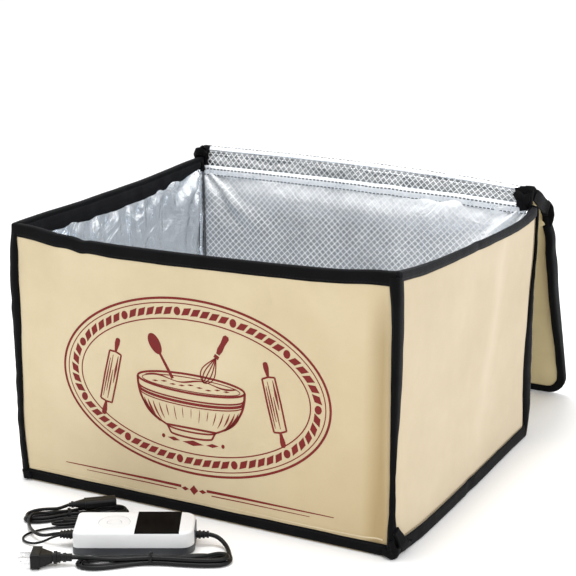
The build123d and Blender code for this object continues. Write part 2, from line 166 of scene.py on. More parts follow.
def shell(name, A, B, U, V, mats, side_mat=0, b_mat=0, sharp=True, col_mat=None):
    """closed thin solid between two grids of points of one shape: A is the shown face, B the other one."""
    A, B = np.asarray(A, float), np.asarray(B, float)
    nu, nv = A.shape[:2]
    idx = np.arange(nu * nv).reshape(nu, nv)
    n0 = nu * nv
    verts = np.concatenate([A.reshape(-1, 3), B.reshape(-1, 3)])
    uv1 = np.stack([U.ravel(), V.ravel()], 1)
    uv = np.concatenate([uv1, uv1])
    # which way round the A face goes
    c = A.mean((0, 1)) - B.mean((0, 1))
    i, j = nu // 2 - 1, nv // 2 - 1
    nrm = np.cross(A[i + 1, j] - A[i, j], A[i, j + 1] - A[i, j])
    fwd = nrm @ (A[i, j] - B[i, j]) > 0
    a, b, c_, d = idx[:-1, :-1], idx[1:, :-1], idx[1:, 1:], idx[:-1, 1:]
    q = np.stack([a, b, c_, d], -1).reshape(-1, 4)
    qa = q if fwd else q[:, ::-1]
    qb = (q[:, ::-1] if fwd else q) + n0
    faces = [tuple(f) for f in qa] + [tuple(f) for f in qb]
    front = [0] * len(qa) if col_mat is None else [int(m) for m in np.tile(col_mat, nu - 1)]
    mi = front + [b_mat] * len(qb)
    ring = list(idx[:, 0]) + list(idx[-1, 1:]) + list(idx[::-1, -1][1:]) + list(idx[0, ::-1][1:-1])
    n = len(ring)
    for k in range(n):
        p, r = ring[k], ring[(k + 1) % n]
        f = (r, p, p + n0, r + n0)
        faces.append(f if fwd else f[::-1])
        mi.append(side_mat)
    ob = make_object(name, verts, faces, uv, mats, mi)
    if sharp:
        edges = set()
        for k in range(n):
            p, r = ring[k], ring[(k + 1) % n]
            edges.add((min(p, r), max(p, r)))
            edges.add((min(p, r) + n0, max(p, r) + n0))
        for e in ob.data.edges:
            x, y = e.vertices
            if (min(x, y), max(x, y)) in edges:
                e.use_edge_sharp = True
    return ob


def sweep_loop(name, C, mats, U=None, V=None, closed=False, mat_index=None):
    """C: (n along, m round, 3) closed cross sections joined along; capped unless closed."""
    C = np.asarray(C, float)
    n, m = C.shape[:2]
    verts = C.reshape(-1, 3)
    faces = []
    idx = np.arange(n * m).reshape(n, m)
    last = n if closed else n - 1
    # orientation
    i = min(n // 2, n - 2)
    cen = C[i].mean(0)
    k0 = 0
    nrm = np.cross(C[i + 1, k0] - C[i, k0], C[i, (k0 + 1) % m] - C[i, k0])
    area_v = np.zeros(3)
    for k in range(m):
        area_v += np.cross(C[i, k] - cen, C[i, (k + 1) % m] - cen)
    fwd = area_v @ (C[i + 1].mean(0) - C[i].mean(0)) > 0
    mi = []
    for i in range(last):
        a = idx[i]
        b = idx[(i + 1) % n]
        for k in range(m):
            k2 = (k + 1) % m
            f = (a[k], a[k2], b[k2], b[k])
            faces.append(f if fwd else f[::-1])
            mi.append(0 if mat_index is None else mat_index[k])
    if not closed:
        c0, c1 = tuple(idx[0]), tuple(idx[-1])
        faces.append(c0[::-1] if fwd else c0)
        faces.append(c1 if fwd else c1[::-1])
        mi += [0, 0]
    if U is None:
        seg = np.linalg.norm(np.diff(C.mean(1), axis=0), axis=1)
        u = np.concatenate([[0], np.cumsum(seg)])
        U = np.repeat(u[:, None], m, 1)
    if V is None:
        j = n // 2
        per = np.linalg.norm(C[j] - np.roll(C[j], 1, axis=0), axis=1)
        per[0] = 0
        V = np.repeat(np.cumsum(per)[None, :], n, 0)
    uv = np.stack([U.ravel(), V.ravel()], 1)
    return make_object(name, verts, faces, uv, mats, mi)


def tape_profile(h, l1, l2, t=0.0007, g=0.0003):
    """cross section of a folded tape: (along outward, along normal); legs l1 on the +normal side and l2 on the other."""
    a = h + g
    out = [(-l1, a + t * 0.75), (-l1 * 0.66, a + t * 1.1), (-l1 * 0.33, a + t * 1.15), (-0.0012, a + t), (0.0003, a + t * 0.55),
           (0.0010, a * 0.62), (0.0013, 0.0), (0.0010, -a * 0.62), (0.0003, -a - t * 0.55), (-0.0012, -a - t), (-l2 * 0.33, -a - t * 1.15),
           (-l2 * 0.66, -a - t * 1.1), (-l2, -a - t * 0.75)]
    inn = [(-l2, -a), (-l2 * 0.5, -a - 0.0001), (-0.0012, -a), (-0.0004, -a * 0.7), (0.0002, 0.0), (-0.0004, a * 0.7), (-0.0012, a), (-l1 * 0.5, a + 0.0001), (-l1, a)]
    return np.array(out + inn)


def tape_sweep(name, P, O, N, h, l1, l2, mats, seed=0, wav=0.0006, puck=0.00035, closed=False, l_scale=None):
    """folded edge tape along the edge points P, with outward directions O and face normals N."""
    P, O, N = (np.asarray(a, float) for a in (P, O, N))
    n = len(P)
    s = np.concatenate([[0], np.cumsum(np.linalg.norm(np.diff(P, axis=0), axis=1))])
    C = []
    for i in range(n):
        k1 = 1.0 if l_scale is None else l_scale[i]
        w1 = wav * float(fbm(s[i] * 22, 0.3, seed, 2))
        w2 = wav * float(fbm(s[i] * 25, 4.3, seed + 3, 2))
        pr = tape_profile(h if np.isscalar(h) else float(h[i]), l1 * k1 + w1, l2 * k1 + w2)
        pz = puck * float(fbm(s[i] * 90, 1.7, seed + 5, 2))
        pr = pr.copy()
        sgn = np.sign(pr[:, 1])
        deep = np.clip(-pr[:, 0] / max(l1, 1e-5), 0, 1)
        pr[:, 1] += sgn * (0.5 + 0.5 * deep) * max(pz, -0.0002)
        C.append(P[i] + pr[:, :1] * O[i] + pr[:, 1:] * N[i])
    return sweep_loop(name, C, mats, closed=closed)


def ribbon(name, P, W, width, t, mats, closed=False):
    """flat band along the points P, W its width directions."""
    P, W = np.asarray(P, float), np.asarray(W, float)
    n = len(P)
    T = np.gradient(P, axis=0)
    if closed:
        T = np.roll(P, -1, axis=0) - np.roll(P, 1, axis=0)
    T /= np.linalg.norm(T, axis=1)[:, None]
    W = W - (W * T).sum(1)[:, None] * T
    W /= np.linalg.norm(W, axis=1)[:, None]
    N = np.cross(T, W)
    wd = np.broadcast_to(np.asarray(width, float), (n,))
    prof = [(-0.5, 0.35), (-0.42, 0.5), (0, 0.58), (0.42, 0.5), (0.5, 0.35), (0.5, -0.35), (0.42, -0.5), (0, -0.42), (-0.42, -0.5), (-0.5, -0.35)]
    C = [[P[i] + W[i] * wd[i] * a + N[i] * t * b for a, b in prof] for i in range(n)]
    return sweep_loop(name, C, mats, closed=closed)


# ---------------------------------------------------------------- materials
class Mat:
    def __init__(self, name):
        self.m = bpy.data.materials.new(name)
        self.m.use_nodes = True
        self.t = self.m.node_tree
        self.n = self.t.nodes
        self.b = self.n["Principled BSDF"]

    def node(self, kind, **kw):
        nd = self.n.new(kind)
        for k, v in kw.items():
            if k.startswith("_"):
                setattr(nd, k[1:], v)
        return nd

    def link(self, a, b):
        self.t.links.new(a, b)

    def math(self, op, a, b=None, c=None):
        nd = self.node("ShaderNodeMath", _operation=op)
        for i, x in enumerate((a, b, c)):
            if x is None:
                continue
            if isinstance(x, (int, float)):
                nd.inputs[i].default_value = x
            else:
                self.link(x, nd.inputs[i])
        return nd.outputs[0]

    def uv(self):
        if not hasattr(self, "_uv"):
            tc = self.node("ShaderNodeTexCoord")
            sp = self.node("ShaderNodeSeparateXYZ")
            self.link(tc.outputs["UV"], sp.inputs[0])
            self._uv = (sp.outputs[0], sp.outputs[1])
            self.obj = tc.outputs["Object"]
            self.uvv = tc.outputs["UV"]
        return self._uv

    def noise(self, scale, detail=3, rough=0.55, coord="obj", distortion=0.0):
        self.uv()
        nd = self.node("ShaderNodeTexNoise")
        nd.inputs["Scale"].default_value = scale
        nd.inputs["Detail"].default_value = detail
        nd.inputs["Roughness"].default_value = rough
        nd.inputs["Distortion"].default_value = distortion
        self.link(self.obj if coord == "obj" else self.uvv, nd.inputs["Vector"])
        return nd.outputs["Fac"]

    def ramp(self, fac, stops):
        nd = self.node("ShaderNodeValToRGB")
        el = nd.color_ramp.elements
        while len(el) < len(stops):
            el.new(0.5)
        for e, (p, c) in zip(el, stops):
            e.position = p
            e.color = c if len(c) == 4 else (*c, 1)
        self.link(fac, nd.inputs[0])
        return nd.outputs[0]

    def mix(self, fac, a, b):
        nd = self.node("ShaderNodeMix", _data_type="RGBA")
        for s, x in ((nd.inputs[0], fac), (nd.inputs[6], a), (nd.inputs[7], b)):
            if isinstance(x, (int, float)):
                s.default_value = x
            elif isinstance(x, tuple):
                s.default_value = x if len(x) == 4 else (*x, 1)
            else:
                self.link(x, s)
        return nd.outputs[2]

    def maprange(self, x, a, b, c, d):
        nd = self.node("ShaderNodeMapRange")
        self.link(x, nd.inputs[0])
        for i, v in enumerate((a, b, c, d)):
            nd.inputs[i + 1].default_value = v
        return nd.outputs[0]

    def bump(self, height, strength, dist, normal=None):
        nd = self.node("ShaderNodeBump")
        nd.inputs["Strength"].default_value = strength
        nd.inputs["Distance"].default_value = dist
        self.link(height, nd.inputs["Height"])
        if normal is not None:
            self.link(normal, nd.inputs["Normal"])
        return nd.outputs[0]

    def set(self, **kw):
        for k, v in kw.items():
            name = k.replace("_", " ")
            s = self.b.inputs[name]
            if isinstance(v, (int, float)):
                s.default_value = v
            elif isinstance(v, tuple):
                s.default_value = v if len(v) == len(s.default_value) else (*v, 1)
            else:
                self.link(v, s)
        return self


def cream_fabric(name="cream_oxford", k=1.0, kb=1.0, painted_shade=False, seam=None):
    m = Mat(name)
    u, v = m.uv()
    # oxford weave: two crossing sets of threads
    a = m.math("SINE", m.math("MULTIPLY", u, TAU / 0.0016))
    b = m.math("SINE", m.math("MULTIPLY", v, TAU / 0.0016))
    weave = m.math("MULTIPLY", a, b)
    slub = m.noise(420, 2, 0.6, "uv")
    big = m.noise(9, 3, 0.5)
    soft = m.noise(38, 4, 0.6)
    col = m.ramp(m.math("ADD", m.math("MULTIPLY", big, 0.6), m.math("MULTIPLY", soft, 0.4)),
                 [(0.30, (0.538 * k, 0.447 * k, 0.287 * kb)), (0.52, (0.583 * k, 0.490 * k, 0.322 * kb)), (0.75, (0.624 * k, 0.533 * k, 0.362 * kb))])
    col = m.mix(m.math("MULTIPLY", m.maprange(weave, -1, 1, 0, 1), 0.10), col, (0.47, 0.38, 0.22))
    col = m.mix(m.math("MULTIPLY", slub, 0.10), col, (0.76, 0.66, 0.46))
    if painted_shade:
        # painted shade: the front wall darker towards its right end and its foot, and a painted shadow down the soft
        # fold beside the right corner tape
        g1 = m.math("MULTIPLY", m.maprange(u, 0.02, 0.215, 0, 0.42), m.maprange(v, 0.30, 0.05, 0.35, 1.0))
        g2 = m.maprange(v, 0.13, 0.0, 0, 0.16)
        axis = m.math("ADD", m.math("MULTIPLY", v, 0.008), 0.2130)
        d = m.math("ABSOLUTE", m.math("SUBTRACT", u, axis))
        fold = m.math("MULTIPLY", m.maprange(d, 0.0, 0.0190, 0.62, 0.0), m.maprange(v, 0.292, 0.225, 0.0, 1.0))
        col = m.mix(m.math("ADD", m.math("ADD", g1, g2), fold), col, (0.390, 0.290, 0.150))
    h = m.math("ADD", m.math("MULTIPLY", weave, 0.5), m.math("MULTIPLY", slub, 0.8))
    nb = m.bump(soft, 0.10, 0.004)
    if seam is not None:
        # a painted highlight along a soft crease that runs down the wall at a slant, and painted shade on the wall's
        # front part
        axis = m.math("ADD", m.math("MULTIPLY", v, 0.27), 0.018)
        du = m.math("ABSOLUTE", m.math("SUBTRACT", m.math("ADD", u, m.math("MULTIPLY", m.math("SUBTRACT", big, 0.5), 0.03)), axis))
        col = m.mix(m.math("MULTIPLY", m.maprange(du, 0.0, 0.024, 0.32, 0.0), m.maprange(v, 0.02, 0.16, 0.25, 1.0)), col, (0.72, 0.645, 0.500))
        col = m.mix(m.maprange(u, -0.10, -0.185, 0.0, 0.20), col, (0.50, 0.41, 0.26))
        # stitches a little above the foot tape, and painted shade along the line where the cloth is drawn in by them
        w = m.math("MULTIPLY", m.math("SUBTRACT", slub, 0.5), 0.0006)
        ds = m.math("ABSOLUTE", m.math("SUBTRACT", m.math("ADD", v, w), seam))
        dash = m.math("GREATER_THAN", m.math("FRACT", m.math("MULTIPLY", u, 1 / 0.0046)), 0.28)
        st = m.math("MULTIPLY", m.math("LESS_THAN", ds, 0.00055), dash)
        col = m.mix(m.maprange(ds, 0.0, 0.0032, 0.20, 0.0), col, (0.36, 0.27, 0.13))
        col = m.mix(m.math("MULTIPLY", st, 0.75), col, (0.22, 0.15, 0.065))
    nb = m.bump(h, 0.22, 0.0003, nb)
    rough = m.maprange(soft, 0.3, 0.7, 0.74, 0.86)
    m.set(Base_Color=col, Roughness=rough, Normal=nb)
    m.b.inputs["Sheen Weight"].default_value = 0.05
    m.b.inputs["Sheen Roughness"].default_value = 0.5
    m.b.inputs["Specular IOR Level"].default_value = 0.15
    return m.m


def black_tape(name="black_edge_tape", k=0.50, spec=0.06):
    m = Mat(name)
    u, v = m.uv()
    rib = m.math("SINE", m.math("MULTIPLY", u, TAU / 0.0011))
    cross = m.math("SINE", m.math("MULTIPLY", v, TAU / 0.0018))
    wv = m.math("ADD", m.math("MULTIPLY", rib, 0.6), m.math("MULTIPLY", m.math("MULTIPLY", rib, cross), 0.5))
    # one row of stitches 2.6 mm in from one edge of the tape
    dash = m.math("GREATER_THAN", m.math("FRACT", m.math("MULTIPLY", u, 1 / 0.0042)), 0.30)
    row = m.math("LESS_THAN", m.math("ABSOLUTE", m.math("SUBTRACT", v, 0.0026)), 0.00045)
    st = m.math("MULTIPLY", dash, row)
    fz = m.noise(900, 3, 0.7)
    big = m.noise(30, 3, 0.5)
    col = m.ramp(m.math("ADD", m.math("MULTIPLY", fz, 0.5), m.math("MULTIPLY", big, 0.5)),
                 [(0.3, (0.0030 * k, 0.0030 * k, 0.0034 * k)), (0.7, (0.0100 * k, 0.0102 * k, 0.0118 * k))])
    col = m.mix(m.math("MULTIPLY", st, 0.6), col, (0.024 * k, 0.024 * k, 0.026 * k))
    nb = m.bump(big, 0.15, 0.002)
    nb = m.bump(m.math("ADD", m.math("MULTIPLY", wv, 0.5), m.math("MULTIPLY", st, 0.8)), 0.5, 0.0003, nb)
    m.set(Base_Color=col, Roughness=m.maprange(fz, 0.2, 0.8, 0.55, 0.8), Normal=nb)
    m.b.inputs["Sheen Weight"].default_value = 0.035
    m.b.inputs["Sheen Roughness"].default_value = 0.4
    m.b.inputs["Sheen Tint"].default_value = (0.6, 0.62, 0.7, 1)
    m.b.inputs["Specular IOR Level"].default_value = spec
    return m.m


def loop_tape():
    m = Mat("black_loop_pile")
    m.uv()
    fz = m.noise(1500, 4, 0.75)
    fz2 = m.noise(500, 3, 0.6)
    col = m.ramp(fz, [(0.3, (0.0015, 0.0015, 0.0019)), (0.7, (0.0070, 0.0071, 0.0086))])
    m.set(Base_Color=col, Roughness=0.92, Normal=m.bump(m.math("ADD", fz, fz2), 0.9, 0.0008))
    m.b.inputs["Sheen Weight"].default_value = 0.05
    m.b.inputs["Sheen Roughness"].default_value = 0.45
    m.b.inputs["Sheen Tint"].default_value = (0.5, 0.52, 0.6, 1)
    m.b.inputs["Specular IOR Level"].default_value = 0.1
    return m.m


def foil(name, lattice=1.0, stitch=None, pitch=0.0055, dark=0.40, r0=0.24, r1=0.38, crease=0.30, pk=1.0, painted_highlight=False, metal0=1.0):
    """aluminium film over a net of threads at 45 degrees."""
    m = Mat(name)
    u, v = m.uv()
    p = pitch
    a = m.math("FRACT", m.math("MULTIPLY", m.math("ADD", u, v), 1 / (p * math.sqrt(2))))
    b = m.math("FRACT", m.math("ADD", m.math("MULTIPLY", m.math("SUBTRACT", u, v), 1 / (p * math.sqrt(2))), 100.0))
    da = m.math("ABSOLUTE", m.math("SUBTRACT", a, 0.5))
    db = m.math("ABSOLUTE", m.math("SUBTRACT", b, 0.5))
    la = m.maprange(da, 0.385, 0.440, 0, 1)
    lb = m.maprange(db, 0.385, 0.440, 0, 1)
    line = m.math("MAXIMUM", la, lb)
    big = m.noise(14, 4, 0.55, distortion=0.4)
    mid = m.noise(60, 4, 0.6, distortion=0.6)
    fine = m.noise(700, 2, 0.6)
    # the net shows strongly in some places and hardly at all in others
    show = m.math("MULTIPLY", m.maprange(big, 0.34, 0.56, 0.72, 1.0), lattice)
    ln = m.math("MULTIPLY", line, show)
    base = m.ramp(m.math("ADD", m.math("MULTIPLY", mid, 0.5), m.math("MULTIPLY", big, 0.5)),
                  [(0.30, (dark * 0.93, dark * 0.975, dark * 1.02)), (0.70, (dark * 1.25, dark * 1.30, dark * 1.35))])
    plain = m.ramp(mid, [(0.3, (0.86 * pk, 0.900 * pk, 0.945 * pk)), (0.7, (0.95 * pk, 0.975 * pk, 1.0 * pk))])
    base = m.mix(lattice, plain, base)
    if painted_highlight:
        # painted highlight: the net foil whitened towards the top of the back wall and towards its right
        highlight_mask = m.math("ADD", m.maprange(u, -0.02, 0.19, 0.0, 0.62), m.maprange(v, 0.242, 0.278, 0.0, 0.70))
        highlight_mask = m.math("MULTIPLY", highlight_mask, m.maprange(big, 0.30, 0.60, 0.45, 1.15))
        base = m.mix(highlight_mask, base, (0.90, 0.93, 0.955))
    col = m.mix(ln, base, (0.97, 0.975, 0.98))
    metal = m.maprange(ln, 0, 1, metal0, 0.15)
    # painted highlight: less metallic near the top, so the whitened foil reads white
    if painted_highlight:
        metal = m.math("MULTIPLY", metal, m.maprange(v, 0.245, 0.280, 1.0, 0.45))
    rough = m.math("ADD", m.maprange(mid, 0.3, 0.7, r0, r1), m.math("MULTIPLY", ln, 0.20))
    rid = m.math("ABSOLUTE", m.math("SUBTRACT", m.noise(21, 3, 0.55, distortion=1.3), 0.5))
    nb = m.bump(mid, crease, 0.0018)
    nb = m.bump(m.maprange(rid, 0.0, 0.10, 1.0, 0.0), crease * 0.9, 0.0022, nb)
    nb = m.bump(m.math("ADD", m.math("MULTIPLY", line, 0.8 * lattice + 0.05), m.math("MULTIPLY", fine, 0.18)), 0.40, 0.0003, nb)
    if stitch is not None:
        dash = m.math("GREATER_THAN", m.math("FRACT", m.math("MULTIPLY", u, 1 / 0.0052)), 0.36)
        for pos in stitch:
            row = m.math("LESS_THAN", m.math("ABSOLUTE", m.math("SUBTRACT", v, pos)), 0.00075)
            st = m.math("MULTIPLY", dash, row)
            col = m.mix(m.math("MULTIPLY", st, 0.92), col, (0.035, 0.038, 0.045))
            nb = m.bump(st, 0.7, 0.0005, nb)
    m.set(Base_Color=col, Metallic=metal, Roughness=rough, Normal=nb)
    return m.m


def print_ink():
    m = Mat("dark_red_ink")
    m.uv()
    a = m.noise(260, 4, 0.7)
    b = m.noise(30, 3, 0.5)
    col = m.ramp(m.math("ADD", m.math("MULTIPLY", a, 0.6), m.math("MULTIPLY", b, 0.4)),
                 [(0.30, (0.125, 0.0075, 0.0065)), (0.62, (0.185, 0.012, 0.0098)), (0.80, (0.27, 0.028, 0.020))])
    m.set(Base_Color=col, Roughness=m.maprange(a, 0.3, 0.7, 0.60, 0.78), Normal=m.bump(a, 0.25, 0.0003))
    m.b.inputs["Specular IOR Level"].default_value = 0.3
    return m.m


def plastic(name, color, rough, spread=0.05, grain=900, bump=0.05, coat=0.0, dist=0.0002, spec=0.5, dust=0.0):
    m = Mat(name)
    m.uv()
    g = m.noise(grain, 3, 0.6)
    b = m.noise(45, 3, 0.5)
    c0 = tuple(max(0.0, x * (1 - spread)) for x in color)
    c1 = tuple(min(1.0, x * (1 + spread)) for x in color)
    col = m.ramp(b, [(0.35, c0), (0.65, c1)])
    if dust:
        col = m.mix(m.math("MULTIPLY", m.maprange(g, 0.55, 0.75, 0, 1), dust), col, (0.35, 0.35, 0.36))
    m.set(Base_Color=col, Roughness=m.maprange(g, 0.3, 0.7, rough * 0.9, min(1.0, rough * 1.12)), Normal=m.bump(g, bump, dist))
    m.b.inputs["Coat Weight"].default_value = coat
    m.b.inputs["Coat Roughness"].default_value = 0.06
    m.b.inputs["Specular IOR Level"].default_value = spec
    return m.m


def steel(name="steel"):
    m = Mat(name)
    m.uv()
    g = m.noise(260, 4, 0.6)
    col = m.ramp(g, [(0.3, (0.60, 0.60, 0.61)), (0.7, (0.78, 0.78, 0.79))])
    m.set(Base_Color=col, Metallic=1.0, Roughness=m.maprange(g, 0.3, 0.7, 0.22, 0.36), Normal=m.bump(g, 0.08, 0.0002))
    return m.m


def vinyl():
    m = Mat("clear_vinyl")
    m.uv()
    g = m.noise(180, 3, 0.5)
    m.set(Base_Color=m.ramp(g, [(0.3, (0.80, 0.83, 0.92)), (0.7, (0.90, 0.92, 0.97))]), Roughness=m.maprange(g, 0.3, 0.7, 0.06, 0.14),
          Normal=m.bump(g, 0.08, 0.0005))
    m.b.inputs["Transmission Weight"].default_value = 0.92
    m.b.inputs["IOR"].default_value = 1.42
    return m.m


M_CREAM = cream_fabric()
# the front wall's copy of the cream, with painted shade
M_CREAM_FRONT = cream_fabric("cream_oxford_front", 1.0, 1.0, True)
# a brighter, warmer copy of the cream for the lid and the cream side of its strip: painted light on faces that sit in
# shade
M_CREAM_LID = cream_fabric("cream_oxford_lid", 1.08, 0.95)
# the right wall's copy of the cream, less yellow: painted light on that face; it also carries the painted crease
# highlight and painted shade
M_CREAM_RIGHT = cream_fabric("cream_oxford_right", 0.97, 1.07, seam=0.0170)
M_TAPE = black_tape()
# a lighter copy of the tape for the right rim: painted light where the rim catches the light at a glancing angle
M_TAPE_RIGHT = black_tape("black_edge_tape_painted_sheen", 1.25, 0.10)
M_LOOP = loop_tape()
M_FOIL = foil("foil_net", 1.0, dark=0.52)
# the back wall's foil, with painted highlight near its top
M_FOIL_BACK = foil("foil_net_back", 1.0, pitch=0.0060, dark=0.46, r0=0.34, r1=0.46, crease=0.24, painted_highlight=True)
M_FOIL_SIDE = foil("foil_plain", 0.0, dark=0.80, r0=0.15, r1=0.25, crease=0.42)
# a less metallic copy, so the rim hem reads as a white band: painted highlight
M_FOIL_HEM = foil("foil_hem", 0.10, stitch=(0.0012, 0.0088), dark=0.80, metal0=0.30)
# a very dark copy of the plain foil: painted shade down the inside corners
M_FOIL_SEAM = foil("foil_seam", 0.0, r0=0.5, r1=0.6, pk=0.16)
# a darker copy of the net foil for the riser of the lid strip: painted shade
M_FOIL_RISER = foil("foil_net_painted_shade", 1.0, dark=0.30)
M_FOIL_RIDGE = foil("foil_ridge_hem", 0.10, stitch=(0.0020, 0.0072), dark=0.80)
M_INK = print_ink()
M_WHITE = plastic("white_satin_plastic", (0.71, 0.715, 0.72), 0.36, 0.012, 700, 0.03)
M_KEY = plastic("white_key_plastic", (0.66, 0.665, 0.67), 0.42, 0.012, 900, 0.04)
M_DARK = plastic("dark_grey_plastic", (0.040, 0.043, 0.048), 0.42, 0.10, 700, 0.06)
M_LATCH = plastic("blue_grey_plastic", (0.052, 0.064, 0.088), 0.40, 0.08, 700, 0.05)
M_GLASS = plastic("display_black", (0.0022, 0.0023, 0.0026), 0.16, 0.2, 60, 0.01, spec=0.015)
M_BLACK = plastic("black_moulded", (0.0048, 0.0048, 0.0054), 0.40, 0.15, 600, 0.12, spec=0.18)
M_RUBBER = plastic("black_rubber", (0.0048, 0.0048, 0.0054), 0.46, 0.15, 800, 0.15, spec=0.18)
M_CORD = plastic("cord_black", (0.0040, 0.0040, 0.0046), 0.32, 0.12, 500, 0.06, spec=0.20)
M_TIE = plastic("tie_black", (0.0055, 0.0055, 0.0062), 0.40, 0.12, 600, 0.10, spec=0.18)
M_BOARD = plastic("board_green", (0.020, 0.135, 0.055), 0.38, 0.10, 300, 0.08)
M_RELAY = plastic("relay_case", (0.055, 0.16, 0.42), 0.35, 0.05, 500, 0.05)
M_STEEL = steel()
M_VINYL = vinyl()


def film_mat():
    m = Mat("heating_film")
    m.uv()
    tc = m.node("ShaderNodeSeparateXYZ")
    m.link(m.obj, tc.inputs[0])
    tr = m.math("GREATER_THAN", m.math("FRACT", m.math("MULTIPLY", tc.outputs[1], 1 / 0.012)), 0.45)
    g = m.noise(300, 3, 0.6)
    col = m.mix(tr, (0.42, 0.22, 0.06), (0.028, 0.028, 0.03))
    m.set(Base_Color=col, Roughness=m.maprange(g, 0.3, 0.7, 0.25, 0.4), Normal=m.bump(tr, 0.3, 0.0002))
    return m.m


M_FILM = film_mat()

# floor
fm = Mat("floor_white")
fm.uv()
fm.set(Base_Color=fm.ramp(fm.noise(3, 2, 0.5), [(0.3, (0.930, 0.930, 0.930)), (0.7, (0.945, 0.945, 0.945))]), Roughness=0.85)
fm.b.inputs["Specular IOR Level"].default_value = 0.15
s = 14.0
floor = make_object("floor", [(-s, -s, -0.0004), (s, -s, -0.0004), (s, s, -0.0004), (-s, s, -0.0004)], [(0, 1, 2, 3)], None, [fm.m], None, False)


# ---------------------------------------------------------------- cords
GX, GY, GROT = -96.0, -407.5, math.radians(27.88)


def g3(p):
    c, sn = math.cos(GROT), math.sin(GROT)
    return ((GX + c * p[0] - sn * p[1]) / 1000, (GY + sn * p[0] + c * p[1]) / 1000, p[2] / 1000)


def cord_curve(name, pts, d, mat):
    cu = bpy.data.curves.new(name, "CURVE")
    cu.dimensions = "3D"
    sp = cu.splines.new("NURBS")
    sp.points.add(len(pts) - 1)
    for i, p in enumerate(pts):
        sp.points[i].co = (*g3(p), 1)
    sp.order_u = 3
    sp.use_endpoint_u = True
    sp.resolution_u = 10
    cu.bevel_depth = d / 2
    cu.bevel_resolution = 5
    cu.use_fill_caps = True
    cu.materials.append(mat)
    ob = bpy.data.objects.new(name, cu)
    COL.objects.link(ob)
    return ob


mains_pts = [
    (197.6, 65.0, 11.5), (204.5, 63.9, 10.6), (211.0, 59.6, 7.6), (216.0, 52.5, 4.6), (218.6, 44.0, 3.0), (219.8, 35.0, 2.5),
    # first turn, right end, lower run, left end, upper run
    (221.6, 26.5, 2.4), (220.6, 17.5, 2.4), (213.5, 11.2, 2.4), (202, 9.6, 2.4), (185, 10.4, 2.4), (165, 13.2, 2.4), (152, 15.2, 2.4), (141, 15.9, 2.4),
    (128, 14.4, 2.4), (113, 9.8, 2.4), (99, 5.4, 2.4), (86, 3.2, 2.4), (75, 4.6, 2.4), (67.6, 11, 2.4), (68.6, 20.5, 2.4), (76.5, 26.8, 2.4),
    (90, 29.6, 2.4), (108, 29.2, 2.4), (126, 26.8, 2.4), (141, 25.3, 2.4), (156, 26.8, 2.4), (172, 30.6, 2.4), (187, 33.4, 2.4), (200, 32.8, 2.4),
    # second turn, inside the first
    (213.6, 28.4, 2.4), (216.0, 20.2, 2.4), (210, 15.8, 2.4), (200, 14.6, 2.4), (184, 15.4, 2.4), (166, 18, 2.4), (153, 19.9, 2.4), (141, 20.6, 2.4),
    (127, 19.3, 2.4), (112, 14.9, 2.4), (98, 10.6, 2.4), (86, 8.5, 2.4), (77.5, 10.2, 2.4), (73.0, 15.2, 2.4), (77, 21.4, 2.4),
    (90, 24.5, 2.4), (106, 24.3, 2.8), (122, 23.8, 4.8), (141, 22.9, 6.4), (156, 23.8, 5.6), (170, 25.9, 3.4), (184, 28.3, 2.6), (197, 27.6, 4.2),
    # third turn, on top of the other two
    (208, 28.2, 6.9), (217.6, 25.4, 7.2), (218.8, 18.0, 6.8), (212, 13.6, 6.5), (201, 12.1, 6.5), (185, 12.9, 6.5), (166, 15.6, 6.5), (153, 17.6, 6.5),
    (141, 18.2, 6.6), (127, 16.8, 6.7), (113, 14.6, 6.8), (99, 13.6, 7.0), (86, 14.9, 7.2), (76.5, 17.0, 7.4), (69, 17.6, 7.9), (61.9, 16.4, 8.2)]

